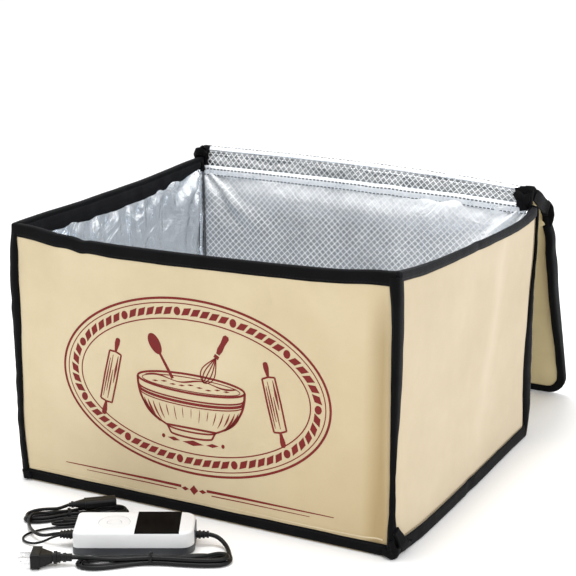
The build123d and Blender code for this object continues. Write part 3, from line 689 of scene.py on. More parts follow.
HX, HY = -25.0, -6.0
heater_pts = [(43.7, 67.6, 11.5), (36.5, 68.0, 10.6), (28.5, 70.6, 8.0), (20.5, 75.6, 6.0), (13.8, 83.2, 5.8), (9.2, 92.5, 5.0), (5.6, 102.5, 3.2), (3.4, 112.0, 2.6)] + [
    (x + HX, y + HY, z) for x, y, z in [
        (27.4, 122.6, 5.6), (29.4, 129.2, 8.6), (35.5, 135.5, 7.4), (44, 140.4, 5.6), (55, 144.4, 5.1), (67.4, 146.6, 5.1),
        (79, 152.0, 5.3), (89, 157.0, 3.8), (98, 161.2, 2.1), (108, 164.0, 1.9), (118.5, 164.0, 1.9), (127.6, 158.8, 1.9), (131, 150.5, 1.9), (126.5, 143.6, 1.9),
        (117, 140.0, 1.9), (104, 138.4, 1.9), (90, 139.2, 1.9), (79, 139.4, 1.9), (68.9, 137.7, 1.9),
        (58, 132.2, 1.9), (45.5, 126.4, 1.9), (32, 124.2, 1.9), (22.8, 128.4, 1.9), (21.0, 137.6, 1.9), (27.2, 145.2, 1.9), (39, 148.2, 1.9), (53, 148.2, 1.9), (67.1, 148.3, 1.9),
        (80, 149.9, 1.9), (92, 154.2, 1.9), (104, 159.0, 1.9), (115.0, 160.2, 1.9), (123.4, 156.4, 1.9), (127.0, 150.6, 1.9), (123.2, 146.4, 1.9),
        (115.5, 143.9, 1.9), (104, 142.2, 1.9), (90, 142.9, 1.9), (79, 142.6, 1.9), (68.3, 141.3, 1.9),
        (58, 136.4, 1.9), (46, 130.6, 1.9), (34.5, 128.2, 1.9), (27.0, 131.4, 1.9), (25.2, 137.4, 1.9), (30.2, 142.6, 1.9), (40, 144.6, 1.9), (54, 144.7, 1.9), (67.7, 144.8, 1.9),
        (80, 146.4, 1.9), (92, 150.2, 2.2), (103, 154.6, 4.4), (113, 158.8, 6.0), (122.6, 158.6, 5.7), (129.2, 151.6, 5.2), (125.8, 145.0, 5.1),
        (116.5, 141.9, 5.0), (104, 140.3, 5.0), (90, 141.1, 5.0), (79, 141.0, 5.0), (68.6, 139.5, 5.0),
        (58, 134.4, 5.0), (46, 128.6, 5.0), (33, 126.3, 5.0), (24.6, 130.0, 5.0), (22.8, 138, 5.2), (28, 144.6, 5.8), (36.5, 145.2, 7.4),
        (46, 142.6, 9.2), (56, 141.4, 9.9), (62.4, 142.8, 11.6), (67.9, 144.5, 13.2)]]

probe_pts = [
    (43.7, 63.1, 11.5), (36.0, 62.2, 9.8), (27.5, 61.3, 5.6), (18.0, 61.9, 2.6), (9.0, 65.8, 1.9), (3.0, 73.0, 1.7), (2.2, 82.0, 1.6), (7.0, 90.6, 1.7), (15.5, 97.4, 1.7),
    (26.5, 102.8, 1.7), (38.5, 105.6, 1.5), (50, 107.6, 1.4), (63, 110.0, 1.4), (77.7, 111.9, 1.4),
    (91, 108.8, 1.4), (104, 106.0, 1.4), (115, 106.5, 1.4), (122.8, 111.2, 1.4), (124.4, 119, 1.4), (119, 126.8, 1.4), (110.5, 130.2, 1.4), (100, 127.8, 1.4), (88, 122.2, 1.4), (78.3, 119.9, 1.4),
    (66, 120.6, 1.4), (52, 120.4, 1.4), (39.5, 119.0, 1.4), (31.2, 115.2, 1.4), (33.0, 110.6, 1.4), (41, 109.2, 1.4), (52, 111.0, 1.4), (64, 113.2, 1.4), (77.9, 114.5, 1.4),
    (91, 111.6, 1.4), (104, 108.9, 1.4), (114, 109.4, 1.4), (120, 113, 1.4), (121.3, 119, 1.4), (117, 124.9, 1.4), (110.3, 127.2, 1.4), (101, 124.8, 1.4), (89, 119.5, 1.4), (78.1, 117.3, 1.4),
    (66, 117.6, 2.4), (52, 117.4, 4.0), (38, 115.6, 4.1), (28.4, 112.4, 4.0), (29.0, 108.2, 3.8), (37, 107.4, 3.9), (50, 110.2, 4.0), (64, 112.4, 3.9), (77.8, 113.2, 3.7),
    (91, 110.2, 3.7), (104, 107.4, 3.7), (114.5, 107.9, 3.7), (121.4, 112.1, 3.7), (122.9, 119, 3.7), (118, 125.9, 3.7), (110.4, 128.8, 3.7), (100.5, 126.3, 3.7), (88.5, 120.8, 3.7), (78.2, 118.6, 3.7),
    (66, 119.0, 4.4), (54, 118.6, 6.2), (44, 116.8, 6.6), (39.6, 113.6, 6.5), (44.5, 111.6, 6.5), (55, 113.0, 6.4), (66, 115.0, 5.2), (78, 115.9, 4.1),
    (90, 114.8, 3.4), (101, 112.9, 3.0), (110.0, 111.0, 4.6), (118.0, 109.4, 6.4), (125, 108.4, 7.8), (132.1, 108.2, 8.6)]


mains = cord_curve("mains_lead", mains_pts, 0.0046, M_CORD)
heater = cord_curve("heater_lead_cord", heater_pts, 0.0036, M_CORD)
probe = cord_curve("probe_lead_cord", probe_pts, 0.0026, M_CORD)
for ob, nodes_ in ((mains, ("mains_cord", "mains_hank")), (heater, ("heater_lead", "heater_hank")), (probe, ("probe_lead", "probe_hank"))):
    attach(ob, "controller")
    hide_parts(*nodes_)


def tie(name, cx, cy, ang, hw, hh, z0=0.0002):
    """a flat twist tie round the waist of a hank, with its two twisted ends on top."""
    a = math.radians(ang)
    ax, ay = math.cos(a), math.sin(a)          # along the hank
    wx, wy = -ay, ax                           # across it
    P, W = [], []
    for k in range(36):
        f = TAU * k / 36
        cs, sn = math.cos(f), math.sin(f)
        e = 2 / 3.2
        lx = hw * math.copysign(abs(cs) ** e, cs)
        lz = hh * math.copysign(abs(sn) ** e, sn)
        P.append(g3((cx + wx * lx, cy + wy * lx, z0 * 1000 + hh + 0.3 + lz)))
        W.append(np.array(g3((cx + ax, cy + ay, 0))) - np.array(g3((cx, cy, 0))))
    band = ribbon(name, P, W, 0.0030, 0.0006, [M_TIE], closed=True)
    # twisted ends
    Q, V = [], []
    n = 22
    for k in range(n + 1):
        t = k / n
        r = 1.0 - 0.2 * t
        lx = -1.5 - 9.0 * t
        Q.append(g3((cx + wx * lx + ax * (1.2 * math.sin(2.2 * t)), cy + wy * lx + ay * (1.2 * math.sin(2.2 * t)), 2 * hh + 1.6 + 1.6 * math.sin(math.pi * min(1, t * 1.1)) - 2.6 * t * t)))
        w = TAU * 1.6 * t
        V.append((math.cos(w) * ax, math.cos(w) * ay, math.sin(w) * r))
    tail = ribbon(name + "_twist", Q, V, 0.0022, 0.0011, [M_TIE])
    for o in (band, tail):
        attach(o, "controller")
    return band, tail


t1 = tie("mains_tie", 141, 20.6, 0, 7.6, 4.9)
t2 = tie("heater_tie", 68 + HX, 143 + HY, 10, 7.7, 3.9)
t3 = tie("probe_tie", 78, 115.9, -4, 5.7, 2.9)
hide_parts("cord_ties")
ND = frame["nodes"]


# ---------------------------------------------------------------- rims
def interp(x, xs, ys):
    """smooth curve through the points."""
    xs, ys = np.asarray(xs, float), np.asarray(ys, float)
    x = np.asarray(x, float)
    m = np.gradient(ys, xs)
    i = np.clip(np.searchsorted(xs, x) - 1, 0, len(xs) - 2)
    h = xs[i + 1] - xs[i]
    t = np.clip((x - xs[i]) / h, 0, 1)
    return ((2 * t ** 3 - 3 * t ** 2 + 1) * ys[i] + (t ** 3 - 2 * t ** 2 + t) * h * m[i] + (-2 * t ** 3 + 3 * t ** 2) * ys[i + 1] + (t ** 3 - t ** 2) * h * m[i + 1])


WX, WY, WH = 0.230, 0.200, 0.300


def front_rim(x):
    sag = interp(x, [-0.230, -0.205, -0.165, -0.120, -0.058, 0.03, 0.108, 0.172, 0.210, 0.230], [0.0, 0.0012, 0.0070, 0.0095, 0.0098, 0.0088, 0.0070, 0.0042, 0.0004, 0.0])
    return WH - 0.0008 - sag - 0.0016 * bump01(x, -0.141, 0.0065) + 0.0008 * bump01(x, -0.158, 0.010)


def lean(x):
    """the back rim and the lid over it stand lower towards the right: 0 left, 1 right"""
    return interp(x, [-0.232, -0.08, 0.05, 0.15, 0.208, 0.232], [0.0, 0.03, 0.26, 0.62, 0.92, 1.0])


def back_rim(x):
    return WH - 0.0004 - 0.0080 * lean(x) + 0.0003 * vnoise(np.asarray(x) * 40, 0.5, 3)


def right_rim(y):
    return WH - 0.0008 - interp(y, [-0.2, -0.15, -0.08, 0.0, 0.045, 0.09, 0.14, 0.17, 0.2], [0, 0.0045, 0.0085, 0.0112, 0.0132, 0.0150, 0.0152, 0.0135, 0.0095])


def left_rim(y):
    return WH - 0.0008 - interp(y, [-0.2, -0.135, -0.07, 0.0, 0.065, 0.12, 0.17, 0.2], [0, -0.0009, -0.0013, -0.0024, -0.0036, -0.0066, -0.0098, -0.0110])


def front_off(x, z):
    """how far the front wall's outer face stands out"""
    x, z = np.asarray(x, float), np.asarray(z, float)
    k = np.sin(math.pi * np.clip((x + WX) / (2 * WX), 0, 1)) ** 0.7 * np.sin(math.pi * np.clip(z / 0.31, 0, 1)) ** 0.6
    o = 0.0016 * fbm(x * 5 + 3, z * 4, 11, 2) * k
    o = o + 0.0013 * bump01(x, 0.172 - 0.05 * (z - 0.15), 0.012) * np.clip(z / 0.3, 0, 1) * np.clip((0.3 - z) / 0.08, 0, 1)
    o = o - 0.0046 * bump01(x, 0.2130 + 0.010 * (z - 0.15), 0.0090) * np.clip((0.292 - z) / 0.05, 0, 1) * np.clip(z / 0.03, 0.2, 1)
    o = o + 0.0011 * bump01(x + 0.25 * (z - 0.27), 0.122, 0.010) * bump01(z, 0.262, 0.03)
    o = o + 0.0013 * bump01(x, -0.213, 0.006) * np.clip(z / 0.1, 0, 1) * np.clip((0.29 - z) / 0.02, 0, 1)
    for xc, zc, tl in ((-0.172, 0.268, 0.9), (-0.160, 0.262, 0.7), (-0.148, 0.266, 1.2), (0.090, 0.262, -0.6), (0.135, 0.255, -0.8)):
        o = o + 0.0007 * bump01((x - xc) - tl * (z - zc) * 0.6, 0, 0.0040) * bump01(z, zc, 0.014)
    return o + 0.0012 * k


def back_off(x, z):
    k = np.sin(math.pi * np.clip((np.asarray(x) + WX) / (2 * WX), 0, 1)) ** 0.7 * np.sin(math.pi * np.clip(np.asarray(z) / 0.31, 0, 1)) ** 0.6
    return 0.0014 * fbm(np.asarray(x) * 6, np.asarray(z) * 5, 23, 2) * k


def side_off(y, z, right):
    """how far a side wall's middle surface stands out of its flat place"""
    y, z = np.asarray(y, float), np.asarray(z, float)
    e = np.clip((y + WY) / (2 * WY), 0, 1)
    k = np.sin(math.pi * e) ** 0.8
    up = 0.25 + 0.75 * np.clip(z / 0.3, 0, 1) ** 1.2
    amp = 0.0066 if right else 0.0040
    crease = bump01(y, 0.0, 0.010) * (0.0013 if right else 0.0010)
    o = amp * k * up - crease * (0.4 + 0.6 * up)
    o = o + 0.0012 * fbm(y * 7 + (5 if right else 9), z * 5, 31 if right else 37, 2) * k
    if right:
        o = o + 0.0056 * np.clip((0.14 - y) / 0.30, 0, 1) * (0.30 + 0.70 * np.clip((y + 0.188) / 0.050, 0, 1)) * np.exp(-np.clip(z - 0.010, 0, 1) / 0.045)
    return o


def grid(u0, u1, nu, v0, v1, nv):
    return np.meshgrid(np.linspace(u0, u1, nu), np.linspace(v0, v1, nv), indexing="ij")


def wall_foil(u, v, seed, gather=None, amp=1.0):
    """wrinkles of the lining, metres, towards the inside"""
    w = 0.0011 * fbm(u * 9, v * 9, seed, 3) + 0.0004 * fbm(u * 42, v * 42, seed + 2, 2)
    # long soft creases running at a slant
    for k in range(7):
        a = 0.9 * vnoise(k * 3.1, 0.2, seed + 9)
        c = 0.22 * vnoise(k * 5.7, 0.9, seed + 8)
        d = (u * math.cos(a) + v * math.sin(a)) - c
        w = w + 0.0009 * np.exp(-np.abs(d / 0.0055)) * (0.5 + 0.5 * vnoise(u * 8 + k, v * 8, seed + 3))
    return w * amp


# ---------------------------------------------------------------- end walls
def end_wall(tag, s, rim, off, body, seed):
    """s = -1 front, +1 back"""
    nx, nz = 161, 97
    T, Z = grid(-1, 1, nx, 0, 1, nz)
    X = T * 0.2285
    R = rim(X)
    Zc = 0.0006 + Z * (R - 0.0006)
    Y = s * (WY + off(X, Zc))
    # the face rolls back a little into its tapes at the sides and the foot
    edge = np.clip((np.abs(X) - 0.219) / 0.0095, 0, 1) ** 2 * 0.0030
    A = np.stack([X, Y - s * edge, Zc], -1)
    B = np.stack([X, Y - s * (edge + 0.0009), Zc], -1)
    cover = shell(tag + "_panel", A, B, X, Zc, [M_CREAM_FRONT if s < 0 else M_CREAM])
    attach(cover, body)
    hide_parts(tag + "_cover")
    # lining
    nx, nz = 181, 113
    T, Z = grid(-1, 1, nx, 0, 1, nz)
    X = T * 0.2228
    R = rim(X) - 0.0008
    Zc = 0.0012 + Z * (R - 0.0012)
    w = wall_foil(X, Zc, seed)
    # gathers: fans of creases from the top corners and a soft pull under the rim
    for cx in (-0.223, 0.223):
        dx, dz = np.abs(X - cx), R - Zc
        rr = np.hypot(dx, dz) + 1e-6
        ang = np.arctan2(dx, dz + 1e-6)
        w = w + 0.0074 * np.exp(-rr / 0.060) * np.sin(ang * 9 + 2.2 * vnoise(rr * 30, ang * 2, seed + 4)) * np.clip(rr / 0.015, 0, 1)
    w = w + 0.0040 * bump01(Zc, R - 0.0315 + 0.004 * vnoise(X * 13, 0.6, seed + 7), 0.0135) * (0.62 + 0.38 * vnoise(X * 16, 0.2, seed + 5))
    w = w + 0.0010 * np.exp(-((R - Zc) / 0.030)) * np.sin(X * 210 + 3 * vnoise(X * 12, 0.4, seed + 6))
    fade = np.clip((R - Zc) / 0.012, 0, 1) * np.clip((0.2228 - np.abs(X)) / 0.006, 0, 1) * np.clip(Zc / 0.012, 0, 1)
    inner = s * (0.193 + np.minimum(off(X, Zc), 0.001) * 0.6) - s * (w + 0.0010) * fade
    A = np.stack([X, inner, Zc], -1)
    B = np.stack([X, s * (WY - 0.0014 + off(X, Zc)), Zc], -1)
    lining = shell(tag + "_lining", A, B, X if s > 0 else X + 0.01 * seed, Zc, [M_FOIL_BACK if s > 0 else M_FOIL], sharp=False)
    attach(lining, body)
    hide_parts(tag + "_insulation")
    return cover, lining


front_cover, front_lining = end_wall("front", -1, front_rim, front_off, "front_wall", 41)
back_cover, back_lining = end_wall("back", 1, back_rim, back_off, "back_wall", 57)


def rim_tape(name, pts, nrm, l1, l2, h, seed, wav=0.0007, outv=(0, 0, 1), puck=0.00035):
    n = len(pts)
    return tape_sweep(name, pts, np.repeat([outv], n, 0), nrm, h, l1, l2, [M_TAPE], seed, wav, puck)


def end_tapes(tag, s, rim, off, body, seed):
    out = []
    xs = np.linspace(-0.2288, 0.2288, 190)
    z = rim(xs)
    mid = s * (WY - 0.0037 + off(xs, z) * 0.8)
    pts = np.stack([xs, mid, z], -1)
    nrm = np.repeat([[0, s, 0]], len(xs), 0)
    if s < 0:
        out.append(rim_tape(tag + "_rim_tape", pts, nrm, 0.0128, 0.0120, 0.0037, seed))
    zf = np.full(len(xs), 0.0016)
    pts = np.stack([xs, s * (WY - 0.0037 + 0 * xs), zf], -1)
    o = rim_tape(tag + "_foot_tape", pts, nrm, 0.0122, 0.0048, 0.0036, seed + 1, 0.0005, (0, 0, -1), 0.0002)
    out.append(o)
    for o in out:
        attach(o, body)
    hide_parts(tag + "_binding")
    return out


front_tapes = end_tapes("front", -1, front_rim, front_off, "front_wall", 101)
back_tapes = end_tapes("back", 1, back_rim, back_off, "back_wall", 111)


# ---------------------------------------------------------------- side walls, one piece each across the crease
def rim_pinch(y):
    """where the right rim is pressed thin: 0 none, 1 most"""
    return interp(y, [-0.2, -0.17, -0.12, -0.04, 0.15, 0.18, 0.2], [0.0, 0.1, 0.6, 1.0, 1.0, 0.6, 0.3])


def side_wall(tag, q, rim, seed):
    right = q > 0
    ra, fa = tag + "_rear", tag + "_front"
    ny, nz = 151, 91
    T, Z = grid(-1, 1, ny, 0, 1, nz)
    Yc = T * 0.1945
    R = rim(Yc)
    Zc = 0.0006 + Z * (R - 0.0006)
    edge = np.clip((np.abs(Yc) - 0.184) / 0.0105, 0, 1) ** 2 * 0.0030
    X = q * (WX + side_off(Yc, Zc, right) - edge)
    A = np.stack([X, Yc, Zc], -1)
    B = np.stack([X - q * 0.0009, Yc, Zc], -1)
    cover = shell(tag + "_panel", A, B, Yc, Zc, [M_CREAM_RIGHT if s > 0 else M_CREAM])
    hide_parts(ra + "_cover", fa + "_cover")
    # lining
    ny, nz = 171, 113
    T, Z = grid(-1, 1, ny, 0, 1, nz)
    Yc = T * 0.1850
    R = rim(Yc) - 0.0008
    Zc = 0.0012 + Z * (R - 0.0012)
    w = wall_foil(Yc, Zc, seed, amp=0.8)
    for cy in (-0.19, 0.19):
        dx, dz = np.abs(Yc - cy), R - Zc
        rr = np.hypot(dx, dz) + 1e-6
        ang = np.arctan2(dx, dz + 1e-6)
        w = w + 0.0074 * np.exp(-rr / 0.062) * np.sin(ang * 11 + 2.5 * vnoise(rr * 30, ang * 2, seed + 4)) * np.clip(rr / 0.02, 0, 1)
    gz = np.clip((R - 0.023 - Zc) / 0.010, 0, 1)
    w = w + 0.0030 * np.exp(-np.clip(R - 0.026 - Zc, 0, 1) / 0.032) * np.sin(Yc * 165 + 4 * vnoise(Yc * 14, 0.4, seed + 6) + 18 * (R - Zc) * vnoise(Yc * 9, 0.9, seed + 16)) * gz
    w = w + 0.0013 * np.exp(-np.clip(R - 0.022 - Zc, 0, 1) / 0.016) * np.sin(Yc * 520 + 5 * vnoise(Yc * 30, 0.4, seed + 26)) * gz
    fade = np.clip((R - 0.006 - Zc) / 0.012, 0, 1) * np.clip((0.1850 - np.abs(Yc)) / 0.006, 0, 1) * np.clip(Zc / 0.012, 0, 1)
    off = side_off(Yc, Zc, right)
    pinch = (0.0036 * rim_pinch(Yc) * np.clip(1 - (R - Zc) / 0.030, 0, 1) ** 1.5) if right else 0
    A = np.stack([q * (0.223 + pinch + off - (w + 0.0009) * fade), Yc, Zc], -1)
    B = np.stack([q * (WX - 0.0014 + off), Yc, Zc], -1)
    lining = shell(tag + "_lining", A, B, Yc + 0.3, Zc, [M_FOIL_SIDE], sharp=False)
    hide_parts(ra + "_insulation", fa + "_insulation")
    # tapes
    ys = np.linspace(-0.1925, 0.1925, 170)
    z = rim(ys)
    o = side_off(ys, z, right)
    pin = 0.0018 * rim_pinch(ys) if right else 0 * ys
    pts = np.stack([q * (WX - 0.0036 + pin + o), ys, z], -1)
    nrm = np.repeat([[q, 0, 0]], len(ys), 0)
    top = rim_tape(tag + "_rim_tape", pts, nrm, 0.0086 if right else 0.0120, 0.0115, 0.0036 - pin, seed + 11)
    if right:
        # the right rim takes the lighter copy of the tape, with painted light
        top.data.materials[0] = M_TAPE_RIGHT
    o = side_off(ys, 0 * ys, right)
    pts = np.stack([q * (WX - 0.0036 + o), ys, 0 * ys + 0.0016], -1)
    foot = rim_tape(tag + "_foot_tape", pts, nrm, 0.0150 if right else 0.0125, 0.0048, 0.0046 if right else 0.0038, seed + 12, 0.0005, (0, 0, -1), 0.0002)
    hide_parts(ra + "_binding", fa + "_binding")
    # wide pile band inside, under the rim
    ys = np.linspace(-0.182, 0.182, 150)
    zt = rim(ys) - 0.0035
    wv = 0.0012 * vnoise(ys * 60, 0.3, seed + 20) + 0.0005 * vnoise(ys * 190, 0.8, seed + 22)
    tall = interp(ys, [-0.2, 0.08, 0.12, 0.15, 0.175, 0.2], [0.0175, 0.0175, 0.0165, 0.0130, 0.0085, 0.0070])
    C = []
    for i, y in enumerate(ys):
        so = side_off(y, zt[i], right)
        zb = zt[i] - tall[i] - wv[i]
        prof = [(0.0, zt[i]), (0.0011, zt[i] - 0.0012), (0.0015, (zt[i] + zb) / 2), (0.0012, zb + 0.0012), (0.0003, zb), (-0.0012, zb + 0.0006), (-0.0014, (zt[i] + zb) / 2), (-0.0012, zt[i] - 0.0006)]
        pu = 0.0006 * float(vnoise(y * 60, 1.1, seed + 21))
        pi_ = 0.0034 * float(rim_pinch(y)) if right else 0.0
        C.append([(q * (0.2212 + float(so) + pi_ * (1 - 0.6 * (zt[i] - zz) / 0.02) - a - pu), y, zz) for a, zz in prof])
    band = sweep_loop(tag + "_pile_band", C, [M_LOOP])
    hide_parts(ra + "_loop_tape", fa + "_loop_tape")
    for p in (cover, lining, top, foot, band):
        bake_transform(p)
    return cover, lining


side_wall("right", 1, right_rim, 63)
side_wall("left", -1, left_rim, 71)


# ---------------------------------------------------------------- tapes of the four upright corners
def elbow(name, qx, sy, z, body, r=0.0024, l1=0.0118, l2=0.0105):
    """the rim tape carried round a corner"""
    P, N = [], []
    for k in range(13):
        a = math.radians(-12 + 114 * k / 12)
        cx, cy = WX - 0.0037 - r, WY - 0.0037 - r
        dx, dy = math.sin(a), math.cos(a)
        P.append((qx * (cx + r * dx), sy * (cy + r * dy), z))
        N.append((qx * dx, sy * dy, 0))
    o = tape_sweep(name, P, np.repeat([[0, 0, 1]], 13, 0), N, 0.0037, l1, l2, [M_TAPE], 5, 0.0004, 0.0002)
    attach(o, body)
    return o


def corner_tape(name, qx, sy, body, zs, a_w, b_w, bulge, seed, t=0.0011, dx=0.0, out=0.0):
    """bound seam up a corner: a_w wide on the end wall, b_w on the side wall, standing out by bulge"""
    C = []
    for i, z in enumerate(zs):
        a = a_w[i] + 0.0006 * float(vnoise(z * 60, 0.1, seed))
        b = b_w[i] + 0.0009 * float(vnoise(z * 55, 3.1, seed + 1))
        u = bulge[i] + 0.0005 * float(fbm(z * 70, 7.7, seed + 2, 2))
        e = out
        inn = [(-a, 0.0), (-a * 0.5, 0.0003), (-0.003, 0.0), (-0.0009, -0.0009), (0.0, -0.003), (0.0003, -b * 0.5), (0.0, -b)]
        o2 = [(0.0010, -b), (t + 0.0004 + u * 0.6, -b * 0.55), (t + u, -0.0034), (t * 0.7 + u * 0.85, t * 0.7 + u * 0.85 - 0.0009), (-0.0034, t + u), (-a * 0.55, t + 0.0004 + u * 0.6), (-a, 0.0010)]
        C.append([(qx * (WX + p + dx + e), sy * (WY + q + e * 0.3), z) for p, q in inn + o2])
    o = sweep_loop(name, C, [M_TAPE])
    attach(o, body)
    return o


zs = np.linspace(0.0015, 0.2950, 90)
corner_tape("front_right_corner_tape", 1, -1, "front_wall", zs,
            interp(zs, [0, 0.02, 0.05, 0.11, 0.15, 0.21, 0.25, 0.295], [0.0070, 0.0056, 0.0036, 0.0034, 0.0032, 0.0026, 0.0044, 0.0080]),
            interp(zs, [0, 0.02, 0.05, 0.11, 0.15, 0.21, 0.25, 0.295], [0.0160, 0.0110, 0.0040, 0.0060, 0.0115, 0.0165, 0.0180, 0.0150]),
            interp(zs, [0, 0.02, 0.05, 0.11, 0.15, 0.21, 0.25, 0.295], [0.0016, 0.0012, 0.0006, 0.0004, 0.0012, 0.0022, 0.0020, 0.0012]), 201)
corner_tape("front_left_corner_tape", -1, -1, "front_wall", zs,
            interp(zs, [0, 0.02, 0.10, 0.20, 0.28, 0.295], [0.0080, 0.0072, 0.0070, 0.0088, 0.0078, 0.0080]),
            interp(zs, [0, 0.15, 0.295], [0.0090, 0.0095, 0.0100]), interp(zs, [0, 0.15, 0.280, 0.287, 0.295], [0.0010, 0.0008, 0.0008, 0.0002, -0.0010]), 211)
zr = np.linspace(0.0015, 0.2900, 80)
corner_tape("rear_right_corner_tape", 1, 1, "back_wall", zr,
            interp(zr, [0, 0.15, 0.29], [0.0090, 0.0085, 0.0080]),
            interp(zr, [0, 0.03, 0.06, 0.12, 0.18, 0.23, 0.29], [0.0060, 0.0110, 0.0170, 0.0170, 0.0080, 0.0036, 0.0040]),
            interp(zr, [0, 0.03, 0.06, 0.12, 0.18, 0.23, 0.29], [0.0008, 0.0030, 0.0034, 0.0026, 0.0018, 0.0012, 0.0010]), 221)
zl = np.linspace(0.0015, 0.2990, 80)
corner_tape("rear_left_corner_tape", -1, 1, "back_wall", zl, np.full(80, 0.0085), np.full(80, 0.0090), np.full(80, 0.0010), 231)
elbow("front_right_rim_elbow", 1, -1, WH - 0.0006, "front_wall", l1=0.0112)
elbow("front_left_rim_elbow", -1, -1, WH - 0.0006, "front_wall")
elbow("rear_right_rim_elbow", 1, 1, 0.2902, "back_wall", l1=0.0095, l2=0.0080)


def crumple(name, pts, width, t, body, wdir, twist=0.0, seed=0):
    """a folded end of tape: a thick band along a few points, twisted on its way"""
    pts = np.asarray(pts, float)
    n = 34
    f = np.linspace(0, len(pts) - 1, n)
    P = np.stack([interp(f, np.arange(len(pts)), pts[:, k]) for k in range(3)], 1)
    T = np.gradient(P, axis=0)
    T /= np.linalg.norm(T, axis=1)[:, None]
    W = []
    for i in range(n):
        w = Vector(wdir)
        w = w - Vector(T[i]) * w.dot(Vector(T[i]))
        w.normalize()
        w.rotate(Matrix.Rotation(twist * i / (n - 1), 3, Vector(T[i])))
        W.append(tuple(w))
    wd = width * (1 + 0.16 * vnoise(f * 1.7, 0.3, seed)) * (0.72 + 0.28 * np.sin(math.pi * np.clip(f / (len(pts) - 1), 0.06, 0.94)))
    o = ribbon(name, P, W, wd, t, [M_TAPE])
    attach(o, body)
    return o


# foot corners: the ends of the tapes turned in over each other
crumple("front_right_foot_tuck", [(0.2215, -0.2030, 0.0075), (0.2300, -0.2040, 0.0070), (0.2345, -0.1985, 0.0062), (0.2338, -0.1880, 0.0070)], 0.0120, 0.0026, "front_wall", (0, 0, 1), 0.25, 3)
crumple("front_right_foot_tuck_end", [(0.2300, -0.2050, 0.0200), (0.2325, -0.2048, 0.0120), (0.2340, -0.2020, 0.0045)], 0.0085, 0.0024, "front_wall", (1, 1, 0), 0.3, 4)
crumple("front_right_foot_tuck_side", [(0.2328, -0.1975, 0.0300), (0.2352, -0.1925, 0.0215), (0.2368, -0.1880, 0.0130), (0.2366, -0.1800, 0.0078), (0.2368, -0.1700, 0.0066)], 0.0125, 0.0026, "right_front", (0, 1, 0.6), 0.5, 8)
crumple("front_left_foot_tuck", [(-0.2210, -0.2022, 0.0070), (-0.2290, -0.2030, 0.0066), (-0.2322, -0.1975, 0.0066), (-0.2318, -0.1890, 0.0070)], 0.0112, 0.0022, "front_wall", (0, 0, 1), -0.2, 5)
crumple("rear_right_foot_tuck", [(0.2300, 0.1860, 0.0058), (0.2312, 0.1955, 0.0056), (0.2285, 0.2015, 0.0058), (0.2215, 0.2012, 0.0062)], 0.0096, 0.0020, "back_wall", (0, 0, 1), 0.2, 6)
crumple("rear_left_foot_tuck", [(-0.2318, 0.1880, 0.0066), (-0.2325, 0.1975, 0.0066), (-0.2290, 0.2030, 0.0066), (-0.2210, 0.2022, 0.0070)], 0.0112, 0.0022, "back_wall", (0, 0, 1), 0.2, 7)


# ---------------------------------------------------------------- the foil-faced strip that carries the lid, and the lid
WEB = np.array([
    (0.1967, 0.2900, 0.0080), (0.1967, 0.2975, 0.0080), (0.1970, 0.3045, 0.0084), (0.1982, 0.3125, 0.0104), (0.1992, 0.3180, 0.0124),
    (0.2006, 0.3208, 0.0133), (0.2032, 0.3219, 0.0138), (0.2066, 0.3208, 0.0142), (0.2150, 0.3176, 0.0160), (0.2258, 0.3142, 0.0186),
    (0.2370, 0.3114, 0.0218), (0.2450, 0.3098, 0.0240), (0.2494, 0.3082, 0.0252), (0.2522, 0.3052, 0.0254), (0.2547, 0.3008, 0.0244),
    (0.2571, 0.2960, 0.0224), (0.2615, 0.2870, 0.0180)])
WEB_HALF = 0.2262
WEB_T = 0.0017


def web(x, f):
    """centre points and outward (foil side) normals of the strip at the across place x; f runs 0..16 along WEB"""
    x, f = np.broadcast_arrays(np.asarray(x, float), np.asarray(f, float))
    k = np.arange(len(WEB))
    d = 1e-3
    kx = lean(x)

    def at(g):
        y = interp(g, k, WEB[:, 0])
        z = interp(g, k, WEB[:, 1]) - kx * interp(g, k, WEB[:, 2])
        return y, z
    y, z = at(f)
    y2, z2 = at(np.clip(f + d, 0, len(WEB) - 1))
    y1, z1 = at(np.clip(f - d, 0, len(WEB) - 1))
    ty, tz = y2 - y1, z2 - z1
    L = np.hypot(ty, tz) + 1e-12
    return y, z, -tz / L, ty / L


